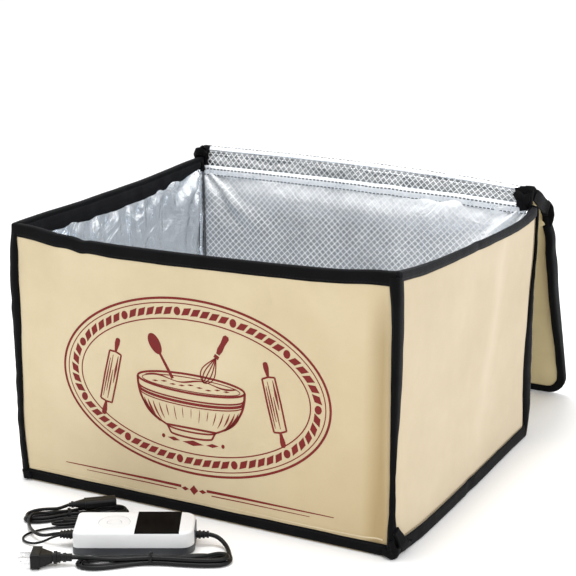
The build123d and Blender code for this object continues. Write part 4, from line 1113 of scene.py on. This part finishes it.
def web_piece(name, f0, f1, n, reps=()):
    T, F = grid(-1, 1, 181, f0, f1, n)
    X = T * WEB_HALF
    y, z, ny_, nz_ = web(X, F)
    soft = 0.0007 * fbm(X * 24, F * 0.8, 77, 3) + 0.0004 * fbm(X * 90, F * 2.2, 79, 2)
    soft = soft + 0.0012 * bump01(F, 3.0, 1.1) * np.clip(vnoise(X * 30, 0.2, 83), -0.6, 1)
    edge = np.clip((1 - np.abs(T)) / 0.03, 0, 1)
    up = WEB_T + soft * edge * np.clip((F - 1.6) / 1.2, 0, 1)
    A = np.stack([X, y + ny_ * up, z + nz_ * up], -1)
    B = np.stack([X, y - ny_ * WEB_T, z - nz_ * WEB_T], -1)
    y0, z0, _, _ = web(0 * F[0], F[0])
    v = np.concatenate([[0], np.cumsum(np.hypot(np.diff(y0), np.diff(z0)))])
    V = np.repeat(v[None, :], X.shape[0], 0) + 0.1 * f0
    fm_ = 0.5 * (F[0, 1:] + F[0, :-1])
    o = shell(name, A, B, X, V, [M_FOIL_RISER, M_CREAM_LID, M_FOIL_SIDE], side_mat=1, b_mat=1, sharp=False, col_mat=[2 if f > 5.5 else 0 for f in fm_])
    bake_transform(o)
    if reps:
        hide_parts(*reps)
    # tape on both side edges
    for q, tag in ((1, "right"), (-1, "left")):
        fs = np.linspace(f0, f1, n + 6)
        y, z, ny_, nz_ = web(q * WEB_HALF + 0 * fs, fs)
        fat = 0.0010 * (1 + vnoise(fs * 1.3, 0.4, 91 + q)) if q > 0 else 0 * fs
        P = np.stack([q * (WEB_HALF + 0.0006) + 0 * fs, y, z], -1)
        N = np.stack([0 * fs, ny_, nz_], -1)
        t = tape_sweep(f"{name}_{tag}_tape", P, np.repeat([[q, 0, 0]], len(fs), 0), N, WEB_T + 0.0008 + fat, 0.0098, 0.0076, [M_TAPE], 95 + q, 0.0008, 0.0005)
        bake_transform(t)
    return o


web_piece("lid_web_foot", 0.0, 3.6, 18, ("lid_riser_strip",))
web_piece("lid_web_ridge", 3.6, 9.0, 26, ("lid_arch_strip",))
web_piece("lid_web_fall", 9.0, 16.0, 30)


# hems: strips of foil turned over the seams, each with its two rows of stitches
def hem_strip(name, path, half, body=None, lift=0.0012, t=0.0007, seed=0, mat=None):
    """path(x) -> arrays y, z, ny, nz along the strip's width"""
    xs = np.linspace(-half, half, 181)
    A, B, U, V = [], [], [], []
    for x in xs:
        y, z, ny_, nz_ = path(x)
        w = 0.0003 * vnoise(x * 60 + np.arange(len(y)) * 0.7, 0.3, seed)
        m = np.sin(math.pi * np.linspace(0.02, 0.98, len(y))) ** 0.4
        hgt = lift + w * m + t * m
        A.append(np.stack([0 * y + x, y + ny_ * hgt, z + nz_ * hgt], -1))
        B.append(np.stack([0 * y + x, y + ny_ * (lift - 0.0009), z + nz_ * (lift - 0.0009)], -1))
        v = np.concatenate([[0], np.cumsum(np.hypot(np.diff(y), np.diff(z)))])
        U.append(0 * y + x)
        V.append(v)
    o = shell(name, np.array(A), np.array(B), np.array(U), np.array(V), [mat or M_FOIL_HEM], sharp=False)
    if body:
        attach(o, body)
    else:
        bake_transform(o)
    return o


def rim_hem_path(x):
    R = float(back_rim(x))
    pts = np.array([(0.1922, R - 0.0118), (0.1920, R - 0.0090), (0.1919, R - 0.0060), (0.1919, R - 0.0030), (0.1922, R - 0.0012), (0.1930, R - 0.0001), (0.1944, R + 0.0004)])
    pts[:, 1] += 0.0004 * float(vnoise(x * 45, 0.2, 301))
    T = np.gradient(pts, axis=0)
    T /= np.linalg.norm(T, axis=1)[:, None]
    return pts[:, 0], pts[:, 1], -T[:, 1], T[:, 0]


def ridge_hem_path(x):
    f = np.linspace(4.35, 6.5, 9)
    y, z, a, b = web(x + 0 * f, f)
    return y[::-1], z[::-1], a[::-1], b[::-1]


hem_strip("back_rim_hem", rim_hem_path, 0.2205, "back_wall", lift=0.0006, seed=303)
hem_strip("ridge_hem", ridge_hem_path, 0.2175, None, lift=WEB_T + 0.0007, seed=305, mat=M_FOIL_RIDGE)

# knots of tape at the two rear corners
crumple("rear_left_knot_a", [(-0.2275, 0.1900, 0.3000), (-0.2290, 0.1925, 0.3090), (-0.2262, 0.1935, 0.3180), (-0.2215, 0.1960, 0.3235)], 0.0130, 0.0040, "back_wall", (1, 0.4, 0.2), 0.9, 11)
crumple("rear_left_knot_b", [(-0.2350, 0.1920, 0.3130), (-0.2285, 0.1890, 0.3190), (-0.2225, 0.1930, 0.3160), (-0.2170, 0.1935, 0.3140)], 0.0095, 0.0034, "back_wall", (0, 0.3, 1), 0.7, 12)
crumple("rear_left_knot_c", [(-0.2265, 0.1890, 0.3080), (-0.2230, 0.1880, 0.3010), (-0.2212, 0.1890, 0.2940)], 0.0085, 0.0030, "back_wall", (1, 0.2, 0), 0.4, 13)
crumple("rear_right_knot_a", [(0.2085, 0.1905, 0.3060), (0.2150, 0.1885, 0.3010), (0.2165, 0.1880, 0.2955), (0.2140, 0.1885, 0.2905)], 0.0110, 0.0040, "back_wall", (1, 0.3, 0.3), 0.6, 14)
crumple("rear_right_knot_b", [(0.2230, 0.1925, 0.3045), (0.2205, 0.1890, 0.2960), (0.2190, 0.1880, 0.2910), (0.2200, 0.1880, 0.2860)], 0.0100, 0.0040, "back_wall", (1, 0.2, 0.1), -0.5, 15)
crumple("rear_right_knot_c", [(0.2080, 0.1920, 0.3070), (0.2160, 0.1950, 0.3090), (0.2240, 0.1985, 0.3085), (0.2275, 0.2050, 0.3075)], 0.0105, 0.0038, "back_wall", (0, 0.4, 1), 0.4, 16)

# loose lower leg of the right edge tape of the arch
f_ = np.linspace(6.2, 12.6, 30)
y_, z_, a_, b_ = web(WEB_HALF + 0 * f_, f_)
flap = ribbon("arch_right_flap", np.stack([0 * f_ + 0.2296 + 0.0006 * np.sin(f_ * 1.7), y_ - 0.0008, z_ - 0.0052 - 0.0010 * np.sin((f_ - 6.2) / 6.4 * math.pi)], -1), np.repeat([[0.12, 0, 1]], 30, 0),
              0.0135 + 0.0035 * np.sin((f_ - 6.2) / 6.4 * math.pi), 0.0018, [M_TAPE])
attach(flap, "lid_arch")

crumple("lid_right_tuck", [(0.2262, 0.2525, 0.2850), (0.2286, 0.2555, 0.2790), (0.2294, 0.2590, 0.2715), (0.2280, 0.2640, 0.2605), (0.2266, 0.2675, 0.2525)], 0.0105, 0.0036, "lid", (1, 0, 0.15), 0.35, 21)
crumple("lid_left_tuck", [(-0.2260, 0.2570, 0.3010), (-0.2285, 0.2600, 0.2940), (-0.2290, 0.2630, 0.2870), (-0.2265, 0.2665, 0.2790)], 0.0095, 0.0030, "lid", (0, 1, 0.4), -0.4, 22)

# lid panel
P2Y, P2Z, DY, DZ, NY_, NZ_ = 0.24942, 0.31441, 0.3638, -0.9315, -0.9315, -0.3638
LU0, LU1, LHALF, LR = 0.0245, 0.3330, 0.2260, 0.026


def lid_half(u):
    k = np.clip((u - (LU1 - LR)) / LR, 0, 1)
    return LHALF - LR + LR * np.sqrt(np.clip(1 - k * k, 0, 1))


def lid_drop(x, u):
    return lean(x) * interp(u, [0.0, 0.016, 0.028, 0.045, 0.080, 0.150, 0.220, 0.34], [0.0252, 0.0224, 0.0180, 0.0134, 0.0066, 0.0012, 0.0, 0.0]) + interp(
        u, [0.0, 0.016, 0.028, 0.050, 0.080, 0.34], [0.0068, 0.0042, 0.0021, 0.0006, 0.0, 0.0])


def lid_world(x, u, v):
    x, u, v = np.broadcast_arrays(np.asarray(x, float), np.asarray(u, float), np.asarray(v, float))
    side = np.clip(x / 0.226, 0, 1) ** 4
    bul = 0.0030 * np.sin(math.pi * np.clip((u - 0.03) / 0.30, 0, 1)) * np.cos(x / 0.226 * math.pi / 2)
    wx = side * (0.0036 * bump01(u, 0.076, 0.022) + 0.0022 * bump01(u, 0.125, 0.030)) * np.clip((u - 0.034) / 0.02, 0, 1)
    vv = v - bul + 0.0012 * fbm(x * 6, u * 6, 131, 2) * np.clip((u - 0.030) / 0.05, 0, 1)
    return x + wx, P2Y + DY * u + NY_ * vv, P2Z + DZ * u + NZ_ * vv - lid_drop(x, u)


nu_, nv_ = 161, 121
T, Uu = grid(-1, 1, nu_, 0, 1, nv_)
Uu = LU0 + (LU1 - LU0) * (1 - (1 - Uu) ** 1.25)
hwid = lid_half(Uu)
X = T * hwid
v_c = interp(Uu, [0.02, 0.033, 0.044, 0.056, 0.34], [0.0002, 0.0003, 0.0036, 0.0040, 0.0040])
v_c = v_c + 0.0022 * bump01(Uu, 0.052, 0.007) - 0.0016 * bump01(Uu, 0.037, 0.004)
near = np.clip((1 - np.abs(T)) * 0.226 / 0.010, 0, 1) * np.clip((LU1 - Uu) / 0.010, 0, 1)
v_c = v_c - 0.0010 * (1 - near)
A = np.stack(lid_world(X, Uu, v_c), -1)
B = np.stack(lid_world(X, Uu, v_c - 0.0009), -1)
lid_cover = shell("lid_panel", A, B, X, Uu, [M_CREAM_LID])
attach(lid_cover, "lid")
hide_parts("lid_cover")
T, Uu = grid(-1, 1, 201, 0, 1, 151)
Uu = LU0 + (LU1 - LU0) * (1 - (1 - Uu) ** 1.25)
X = T * (lid_half(Uu) - 0.001)
w = wall_foil(X, Uu, 143)
near = np.clip((1 - np.abs(T)) * 0.226 / 0.012, 0, 1) * np.clip((LU1 - Uu) / 0.012, 0, 1) * np.clip((Uu - LU0) / 0.012, 0, 1)
for cx in (-0.226, 0.226):
    rr = np.hypot(X - cx, Uu - LU1) + 1e-6
    w = w + 0.0022 * np.exp(-rr / 0.05) * np.sin(np.arctan2(np.abs(X - cx), LU1 - Uu + 1e-6) * 13) * np.clip(rr / 0.02, 0, 1)
v_f = interp(Uu, [0.02, 0.05, 0.34], [-0.0039, -0.0042, -0.0040])
A = np.stack(lid_world(X, Uu, v_f - (w + 0.0010) * near), -1)
v_b = interp(Uu, [0.02, 0.034, 0.046, 0.060, 0.34], [-0.0012, -0.0012, 0.0024, 0.0030, 0.0030])
B = np.stack(lid_world(X, Uu, v_b), -1)
lid_lining = shell("lid_lining", A, B, X + 0.7, Uu, [M_FOIL], sharp=False)
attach(lid_lining, "lid")
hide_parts("lid_insulation")

# binding of the lid: one U-shaped run down a side, round the corners and up the other side
run = [(LHALF, u, 1.0, 0.0) for u in np.linspace(LU0 + 0.0005, LU1 - LR, 74)]
run += [(LHALF - LR + LR * math.cos(a), LU1 - LR + LR * math.sin(a), math.cos(a), math.sin(a)) for a in np.linspace(0.09, math.pi / 2 - 0.09, 14)]
run += [(x, LU1, 0.0, 1.0) for x in np.linspace(LHALF - LR, -(LHALF - LR), 96)]
run += [(-(LHALF - LR) - LR * math.sin(a), LU1 - LR + LR * math.cos(a), -math.sin(a), math.cos(a)) for a in np.linspace(0.09, math.pi / 2 - 0.09, 14)]
run += [(-LHALF, u, -1.0, 0.0) for u in np.linspace(LU1 - LR, LU0 + 0.0005, 74)]
P, O, N, H = [], [], [], []
for x, u, ox, ou in run:
    vc = float(interp(u, [0.02, 0.034, 0.050, 0.34], [-0.0019, -0.0017, 0.0, 0.0]))
    P.append([float(c) for c in lid_world(x + 0.0004 * ox, u + 0.0004 * ou, vc)])
    O.append((ox, ou * DY, ou * DZ))
    N.append((0, -NY_, -NZ_))
    H.append(float(interp(u, [0.02, 0.034, 0.050, 0.34], [0.0024, 0.0026, 0.0043, 0.0043])))
lid_tape = tape_sweep("lid_edge_tape", P, O, N, H, 0.0098, 0.0076, [M_TAPE], 151, 0.0009, 0.0005, l_scale=[1.0 + 0.38 * min(1.0, max(0.0, (r_[1] - 0.29) / 0.03)) for r_ in run])
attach(lid_tape, "lid")
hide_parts("lid_binding")


# ---------------------------------------------------------------- floor: two foil-faced halves and the soft gussets at their ends
def floor_half(tag, s, body, y_out, hw_out):
    T, S = grid(-1, 1, 121, 0, 1, 91)
    Y = 0.0014 + S * (y_out - 0.0014)
    HW = np.minimum(0.0290 + Y - 0.0008, hw_out)
    X = T * HW
    near = np.clip((1 - np.abs(T)) * HW / 0.010, 0, 1) * np.clip((y_out - Y) / 0.010, 0, 1) * np.clip((Y - 0.0014) / 0.006, 0, 1)
    w = wall_foil(X, Y * s, 171 + s) * 0.7
    top = 0.0047 + near * (0.0021 + w) if s > 0 else 0.0040 + near * (0.0027 + w)
    low = 0.0016 + 0 * top
    A = np.stack([X, s * Y, np.minimum(top, 0.0088)], -1)
    B = np.stack([X, s * Y, low], -1)
    pad = shell(tag + "_pad", A, B, X + 0.2, Y * s, [M_FOIL_SIDE], sharp=False)
    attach(pad, body)
    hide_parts(tag + "_insulation")
    A = np.stack([X, s * Y, 0 * X + 0.0001], -1)
    B = np.stack([X, s * Y, 0 * X + 0.0009], -1)
    base = shell(tag + "_base", A, B, X, Y, [M_CREAM])
    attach(base, body)
    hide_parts(tag + "_cover")
    return pad, base


floor_half("floor_rear", 1, "floor_rear", 0.1915, 0.2205)
floor_half("floor_front", -1, "floor_front", 0.1835, 0.2140)


def gusset(tag, s, q, body, y_out):
    """soft three-cornered piece between the slanting end of a floor half and the side wall"""
    S, T = grid(0.02, 1, 61, 0, 1, 41)
    Y = 0.0020 + S * (y_out - 0.0020)
    x0 = np.minimum(0.0300 + Y, 0.2195)
    X = x0 + T * (0.2210 - x0)
    f = np.sin(math.pi * T) * np.clip(S / 0.1, 0, 1) * np.clip((1 - S) / 0.08, 0, 1)
    zt = 0.0026 + f * (0.0020 + 0.0009 * np.sin(X * 230 + Y * 120) + 0.0007 * fbm(X * 20, Y * 20, 191 + s + 3 * q, 2))
    A = np.stack([q * X, s * Y, zt], -1)
    B = np.stack([q * X, s * Y, zt - 0.0013], -1)
    o = shell(f"{tag}_gusset", A, B, X, Y, [M_FOIL_SIDE, M_CREAM], side_mat=1, b_mat=1, sharp=False)
    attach(o, body)
    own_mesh(o)
    return o


for s_, tag_, body_, yo_ in ((1, "rear", "back_wall", 0.1885), (-1, "front", "front_wall", 0.1825)):
    for q_, side_ in ((1, "right"), (-1, "left")):
        g_ = gusset(f"floor_{tag_}_{side_}", s_, q_, body_, yo_)
        if q_ > 0:
            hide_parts(f"floor_{tag_}_gussets")


# foil seams down the four inside corners
def corner_seam(name, qx, sy, body, top):
    zz = np.linspace(0.0012, top, 60)
    A, B = [], []
    for z in zz:
        w = 0.0006 * float(fbm(z * 40, 0.3, 401 + qx + sy, 2))
        pl = [(0.2160, 0.1918), (0.2195, 0.1922), (0.2218, 0.1926), (0.2232, 0.1932), (0.2226, 0.1915), (0.2220, 0.1890), (0.2218, 0.1850), (0.2222, 0.1815)]
        A.append([(qx * (a + w), sy * (b + w), z) for a, b in pl])
        ql = [(0.2162, 0.1928), (0.2197, 0.1932), (0.2222, 0.1938), (0.2240, 0.1942), (0.2236, 0.1920), (0.2230, 0.1892), (0.2228, 0.1850), (0.2230, 0.1817)]
        B.append([(qx * (a + w), sy * (b + w), z) for a, b in ql])
    A, B = np.array(A), np.array(B)
    o = shell(name, A, B, A[..., 1], A[..., 2], [M_FOIL_SIDE], sharp=False)
    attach(o, body)
    zz = np.linspace(0.004, top - 0.004, 70)
    wv = np.array([0.0009 * float(fbm(z * 26, 0.9, 411 + qx + sy, 3)) for z in zz])
    P = np.stack([qx * (0.2212 + wv), sy * (0.1912 + 0.5 * wv), zz], -1)
    # a dark strip down each inside corner: painted shade in the fold
    seam = ribbon(name + "_fold", P, np.repeat([[qx, -sy, 0]], 70, 0), 0.0019 + 0.0008 * np.sin(zz * 70), 0.0008, [M_FOIL_SEAM])
    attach(seam, body)
    return o


corner_seam("rear_left_seam", -1, 1, "back_wall", 0.2960)
corner_seam("rear_right_seam", 1, 1, "back_wall", 0.2870)
corner_seam("front_left_seam", -1, -1, "front_wall", 0.2960)
corner_seam("front_right_seam", 1, -1, "front_wall", 0.2960)


def settle(x, y, z):
    """how the soft box has settled: the front left corner leans out, the rear right one too near its top"""
    def sm(t):
        t = np.clip(t, 0, 1)
        return t * t * (3 - 2 * t)
    g = interp(z, [-0.01, 0.0, 0.03, 0.06, 0.12, 0.22, 0.27, 0.33], [0.0, 0.0004, 0.0030, 0.0052, 0.0056, 0.0052, 0.0046, 0.0044])
    dx = -g * sm((-x - 0.10) / 0.125) * sm((-y - 0.06) / 0.13)
    h = interp(z, [-0.01, 0.12, 0.19, 0.24, 0.28, 0.33], [0.0, 0.0, 0.0012, 0.0036, 0.0040, 0.0030])
    dx = dx + h * sm((x - 0.12) / 0.10) * sm((y - 0.09) / 0.10)
    return dx


for o in list(SC.objects):
    if o.type == "MESH" and o.name not in ND and (o.name.startswith(("front_panel", "front_lining", "front_rim", "front_foot", "front_left", "left_", "back_panel", "right_", "rear_right_corner", "rear_right_rim", "rear_right_seam"))):
        co = np.zeros(len(o.data.vertices) * 3)
        o.data.vertices.foreach_get("co", co)
        co = co.reshape(-1, 3)
        co[:, 0] += settle(co[:, 0], co[:, 1], co[:, 2])
        o.data.vertices.foreach_set("co", co.ravel())
        o.data.update()


# ---------------------------------------------------------------- front decoration: a generic mixing bowl in a ring of lozenges
class Strokes:
    """flat inked strokes lying on the front wall; places in mm, x across and z up"""

    def __init__(self, lift=0.00022):
        self.v, self.f, self.lift = [], [], lift

    def add(self, pts, w, closed=False, step=2.2):
        pts = np.asarray(pts, float)
        if closed:
            pts = np.vstack([pts, pts[:1]])
        w = np.broadcast_to(np.asarray(w, float), (len(pts) if not closed or np.ndim(w) == 0 else len(pts) - 1,)).astype(float)
        if len(w) == len(pts) - 1:
            w = np.append(w, w[0])
        seg = np.hypot(*np.diff(pts, axis=0).T)
        s = np.concatenate([[0], np.cumsum(seg)])
        n = max(2, int(math.ceil(s[-1] / step)) + 1)
        g = np.unique(np.concatenate([np.linspace(0, s[-1], n), s])) if len(pts) < 14 else np.linspace(0, s[-1], max(n, len(pts)))
        P = np.stack([np.interp(g, s, pts[:, 0]), np.interp(g, s, pts[:, 1])], 1)
        wd = np.interp(g, s, w) * 1.16
        T = np.gradient(P, axis=0)
        if closed:
            T[0] = T[-1] = P[1] - P[-2]
        T /= np.linalg.norm(T, axis=1)[:, None] + 1e-12
        N = np.stack([-T[:, 1], T[:, 0]], 1)
        L, R = P + N * wd[:, None] / 2, P - N * wd[:, None] / 2
        if closed:
            L, R, P = L[:-1], R[:-1], P[:-1]
        m = len(P)
        k0 = len(self.v)
        for pt, lift in ((L, self.lift), (R, self.lift), (R, -0.0002), (L, -0.0002)):
            x, z = pt[:, 0] / 1000, pt[:, 1] / 1000
            y = -(WY + front_off(x, z)) - lift
            self.v += list(zip(x, y, z))
        for i in range(m if closed else m - 1):
            j = (i + 1) % m
            for a, b in ((0, 1), (1, 2), (2, 3), (3, 0)):
                self.f.append((k0 + a * m + i, k0 + b * m + i, k0 + b * m + j, k0 + a * m + j))
        if not closed:
            self.f.append((k0, k0 + 3 * m, k0 + 2 * m, k0 + m))
            e = m - 1
            self.f.append((k0 + e, k0 + m + e, k0 + 2 * m + e, k0 + 3 * m + e))

    def disc(self, x, z, r):
        a = np.linspace(-1, 1, 13) * 0.985
        self.add(np.stack([x + a * r, z + 0 * a], 1), 2 * r * np.sqrt(1 - a * a), step=99)

    def lozenge(self, x, z, long, wide, ang):
        t = np.linspace(-1, 1, 9)
        c, sn = math.cos(ang), math.sin(ang)
        self.add(np.stack([x + c * t * long / 2, z + sn * t * long / 2], 1), wide * np.clip(1 - np.abs(t), 0.03, 1), step=99)

    def ellipse(self, x, z, rx, rz, w, a0=0.0, a1=TAU, n=120):
        full = abs(a1 - a0 - TAU) < 1e-6
        a = np.linspace(a0, a1, n, endpoint=not full)
        self.add(np.stack([x + rx * np.cos(a), z + rz * np.sin(a)], 1), w, closed=full)

    def object(self, name, mat):
        o = make_object(name, self.v, self.f, None, [mat], None, False)
        bm_fix(o)
        return o


def bm_fix(o):
    import bmesh
    b = bmesh.new()
    b.from_mesh(o.data)
    bmesh.ops.recalc_face_normals(b, faces=b.faces)
    b.to_mesh(o.data)
    b.free()


ink = Strokes()
CX, CZ = -4.0, 146.0
# ring: two rules with a rope of slanted lozenges between them
ink.ellipse(CX, CZ, 164, 97, 2.2, n=180)
ink.ellipse(CX, CZ, 158.5, 91.8, 0.9, n=180)
ink.ellipse(CX, CZ, 141.0, 74.6, 1.1, n=160)
per = 66
aa = np.linspace(0, TAU, 2000)
ex, ez = CX + 149.8 * np.cos(aa), CZ + 83.2 * np.sin(aa)
arc = np.concatenate([[0], np.cumsum(np.hypot(np.diff(ex), np.diff(ez)))])
for k in range(per):
    a = float(np.interp(arc[-1] * k / per, arc, aa))
    x, z = CX + 149.8 * math.cos(a), CZ + 83.2 * math.sin(a)
    tx, tz = -149.8 * math.sin(a), 83.2 * math.cos(a)
    ang = math.atan2(tz, tx)
    if k % 6 == 0:
        ink.disc(x, z, 4.0)
    else:
        ink.lozenge(x, z, 15.2, 7.2, ang + 0.62)
# bowl
BX, BZ = -6.0, 150.0


def bowl_side(t):
    """half width and height below the rim, t 0 rim .. 1 foot"""
    return 66 * np.sqrt(np.clip(1 - (0.90 * t) ** 2.3, 0, 1)), -50 * t


ink.ellipse(BX, BZ, 66, 10.5, 2.0)
ink.ellipse(BX, BZ - 0.8, 60.5, 7.6, 0.8)
t = np.linspace(0.0, 1.0, 40)
hw_, dz_ = bowl_side(t)
for q in (-1, 1):
    ink.add(np.stack([BX + q * hw_, BZ + dz_], 1), np.linspace(2.4, 1.8, 40))
hb = float(hw_[-1])
ink.add([(BX - hb - 0.6, BZ - 50), (BX + hb + 0.6, BZ - 50)], 2.0)
ink.ellipse(BX, BZ - 50, hb, 4.4, 1.6, math.pi, TAU, 40)
ink.add([(BX - hb * 0.98, BZ - 50), (BX - hb * 0.84, BZ - 58)], 1.8)
ink.add([(BX + hb * 0.98, BZ - 50), (BX + hb * 0.84, BZ - 58)], 1.8)
ink.ellipse(BX, BZ - 57.6, hb * 0.85, 3.4, 1.8, math.pi, TAU, 40)
# two rules round the bowl and shading lines that follow it
for tt, wd in ((0.17, 1.5), (0.24, 2.6), (0.31, 1.0)):
    h_, d_ = bowl_side(np.array([tt]))
    ink.ellipse(BX, BZ + float(d_[0]), float(h_[0]) - 0.6, 10.2, wd, math.pi, TAU, 70)
for k in range(17):
    ph = -1.0 + 2.0 * (k + 0.5) / 17
    tt = np.linspace(0.36 + 0.05 * abs(ph), 0.60 + 0.34 * abs(ph) ** 1.5 + 0.05 * math.sin(k * 2.3), 16)
    h_, d_ = bowl_side(tt)
    wv_ = (0.5 + 2.5 * abs(ph) ** 1.6) * np.sin(np.linspace(0.12, math.pi - 0.12, 16))
    ink.add(np.stack([BX + h_ * math.sin(ph * 1.45), BZ + d_ - 9.6 * math.cos(ph * 1.45)], 1), wv_)
# batter line and drops
bx_ = np.linspace(-56, 56, 60)
ink.add(np.stack([BX + bx_, BZ + 2.6 + 2.2 * np.sin(bx_ / 9.0)], 1), 1.2 + 0.5 * np.cos(bx_ / 7))
for k in range(9):
    ink.lozenge(BX - 44 + 11 * k, BZ - 2.6 + 1.2 * math.sin(k * 1.9), 8.0, 1.6, 0.05)
# whisk leaning in the bowl
ang = math.radians(62)
wx, wz = BX + 16, BZ + 4
dx, dz = math.cos(ang), math.sin(ang)
for sp in (-1.0, -0.52, 0.0, 0.52, 1.0):
    tt = np.linspace(0, 1, 26)
    lat = 9.5 * sp * np.sin(math.pi * tt ** 0.72) * (1 - 0.30 * tt)
    al = 34 * tt
    ink.add(np.stack([wx + dx * al - dz * lat, wz + dz * al + dx * lat], 1), 1.1)
ink.add([(wx + dx * 33, wz + dz * 33), (wx + dx * 37, wz + dz * 37)], 5.2)
ink.add([(wx + dx * 38.5, wz + dz * 38.5), (wx + dx * 44, wz + dz * 44), (wx + dx * 52, wz + dz * 52), (wx + dx * 60, wz + dz * 60), (wx + dx * 62.5, wz + dz * 62.5)], [3.6, 5.8, 5.0, 6.6, 3.6])
# flat spoon leaning the other way
ang = math.radians(121)
sx, sz = BX - 22, BZ + 3
dx, dz = math.cos(ang), math.sin(ang)
ink.add([(sx, sz), (sx + dx * 30, sz + dz * 30)], [3.2, 2.4])
tt = np.linspace(0, 1, 22)
ink.add(np.stack([sx + dx * (29 + 25 * tt), sz + dz * (29 + 25 * tt)], 1), 12.5 * np.sqrt(np.clip(1 - (2 * tt - 1) ** 2, 0.02, 1)) * (0.86 + 0.14 * tt))
# rolling pins left and right, upright
for q in (-1, 1):
    rx_, r0, r1 = BX + q * 101, BZ - 36, BZ + 22
    tilt = -q * 0.24
    c, sn = math.sin(tilt), math.cos(tilt)

    def on(a, lat=0.0):
        return (rx_ + c * a + sn * lat, (r0 + r1) / 2 + sn * a - c * lat)
    h = (r1 - r0) / 2
    for lat in (-7.6, 7.6):
        ink.add([on(-h, lat), on(0, lat * 1.06), on(h, lat)], 1.7)
    ink.add([on(-h, -7.6), on(-h - 1.2, 0), on(-h, 7.6)], 1.7)
    ink.add([on(h, -7.6), on(h + 1.2, 0), on(h, 7.6)], 1.7)
    for s_ in (-1, 1):
        ink.add([on(s_ * (h + 2.2)), on(s_ * (h + 5)), on(s_ * (h + 11)), on(s_ * (h + 16)), on(s_ * (h + 17.4))], [2.6, 3.4, 5.4, 4.8, 2.2])
    for k, (a0_, a1_) in enumerate(((-0.86, 0.72), (-0.62, 0.88), (-0.9, 0.3), (-0.2, 0.9))):
        lat = (-4.9, -2.1, 1.0, 4.4)[k]
        ink.add([on(h * a0_, lat), on(h * (a0_ + a1_) / 2, lat), on(h * a1_, lat)], [0.5, 1.4 if k != 3 else 2.4, 0.5])
# foot ornament inside the ring and the rules under it
ink.lozenge(CX, CZ - 62.5, 26, 5.2, 0)
for q in (-1, 1):
    ink.lozenge(CX + q * 24, CZ - 61.3, 15, 3.8, q * 0.10)
    ink.disc(CX + q * 37, CZ - 59.8, 2.0)
for q in (-1, 1):
    ink.add([(CX + q * 16, 31.5), (CX + q * 60, 31.9), (CX + q * 168, 31.5)], [2.6, 2.2, 0.7])
    ink.add([(CX + q * 22, 27.0), (CX + q * 60, 27.3), (CX + q * 140, 27.0)], [1.0, 1.0, 0.5])
    ink.lozenge(CX + q * 11, 29.6, 9, 4.2, 0)
ink.lozenge(CX, 29.6, 11, 9, math.pi / 2)
deco = ink.object("front_decoration", M_INK)
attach(deco, "front_wall")

# stitched welt over the foot tapes
welt = Strokes(lift=0.00075)
xs_ = np.linspace(-219, 219, 150)
welt.add(np.stack([xs_, 17.4 + 0.5 * np.sin(xs_ / 31)], 1), 1.3)
welt_ob = welt.object("front_welt", M_CREAM)
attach(welt_ob, "front_wall")


# ---------------------------------------------------------------- carried-over CAD nodes
def paint(name, *mats):
    me = ND[name].data
    for i in range(len(me.materials)):
        me.materials[i] = mats[min(i, len(mats) - 1)]
    if not len(me.materials):
        me.materials.append(mats[0])


for n_, m_ in {"case_bottom": M_DARK, "case_top": M_WHITE, "control_ring": M_KEY, "centre_button": M_KEY, "display_window": M_GLASS, "latch_clip": M_LATCH,
               "lead_relief": M_RUBBER, "mains_relief": M_RUBBER, "plug_body": M_BLACK, "plug_blades": M_STEEL, "heater_connector": M_BLACK,
               "suction_cup": M_VINYL, "probe_rod": M_STEEL, "case_screws": M_STEEL, "dome_switches": M_STEEL, "circuit_board": M_BOARD, "power_relay": M_RELAY,
               "power_inlet": M_BLACK, "heating_film_rear": M_FILM, "heating_film_front": M_FILM}.items():
    paint(n_, m_)
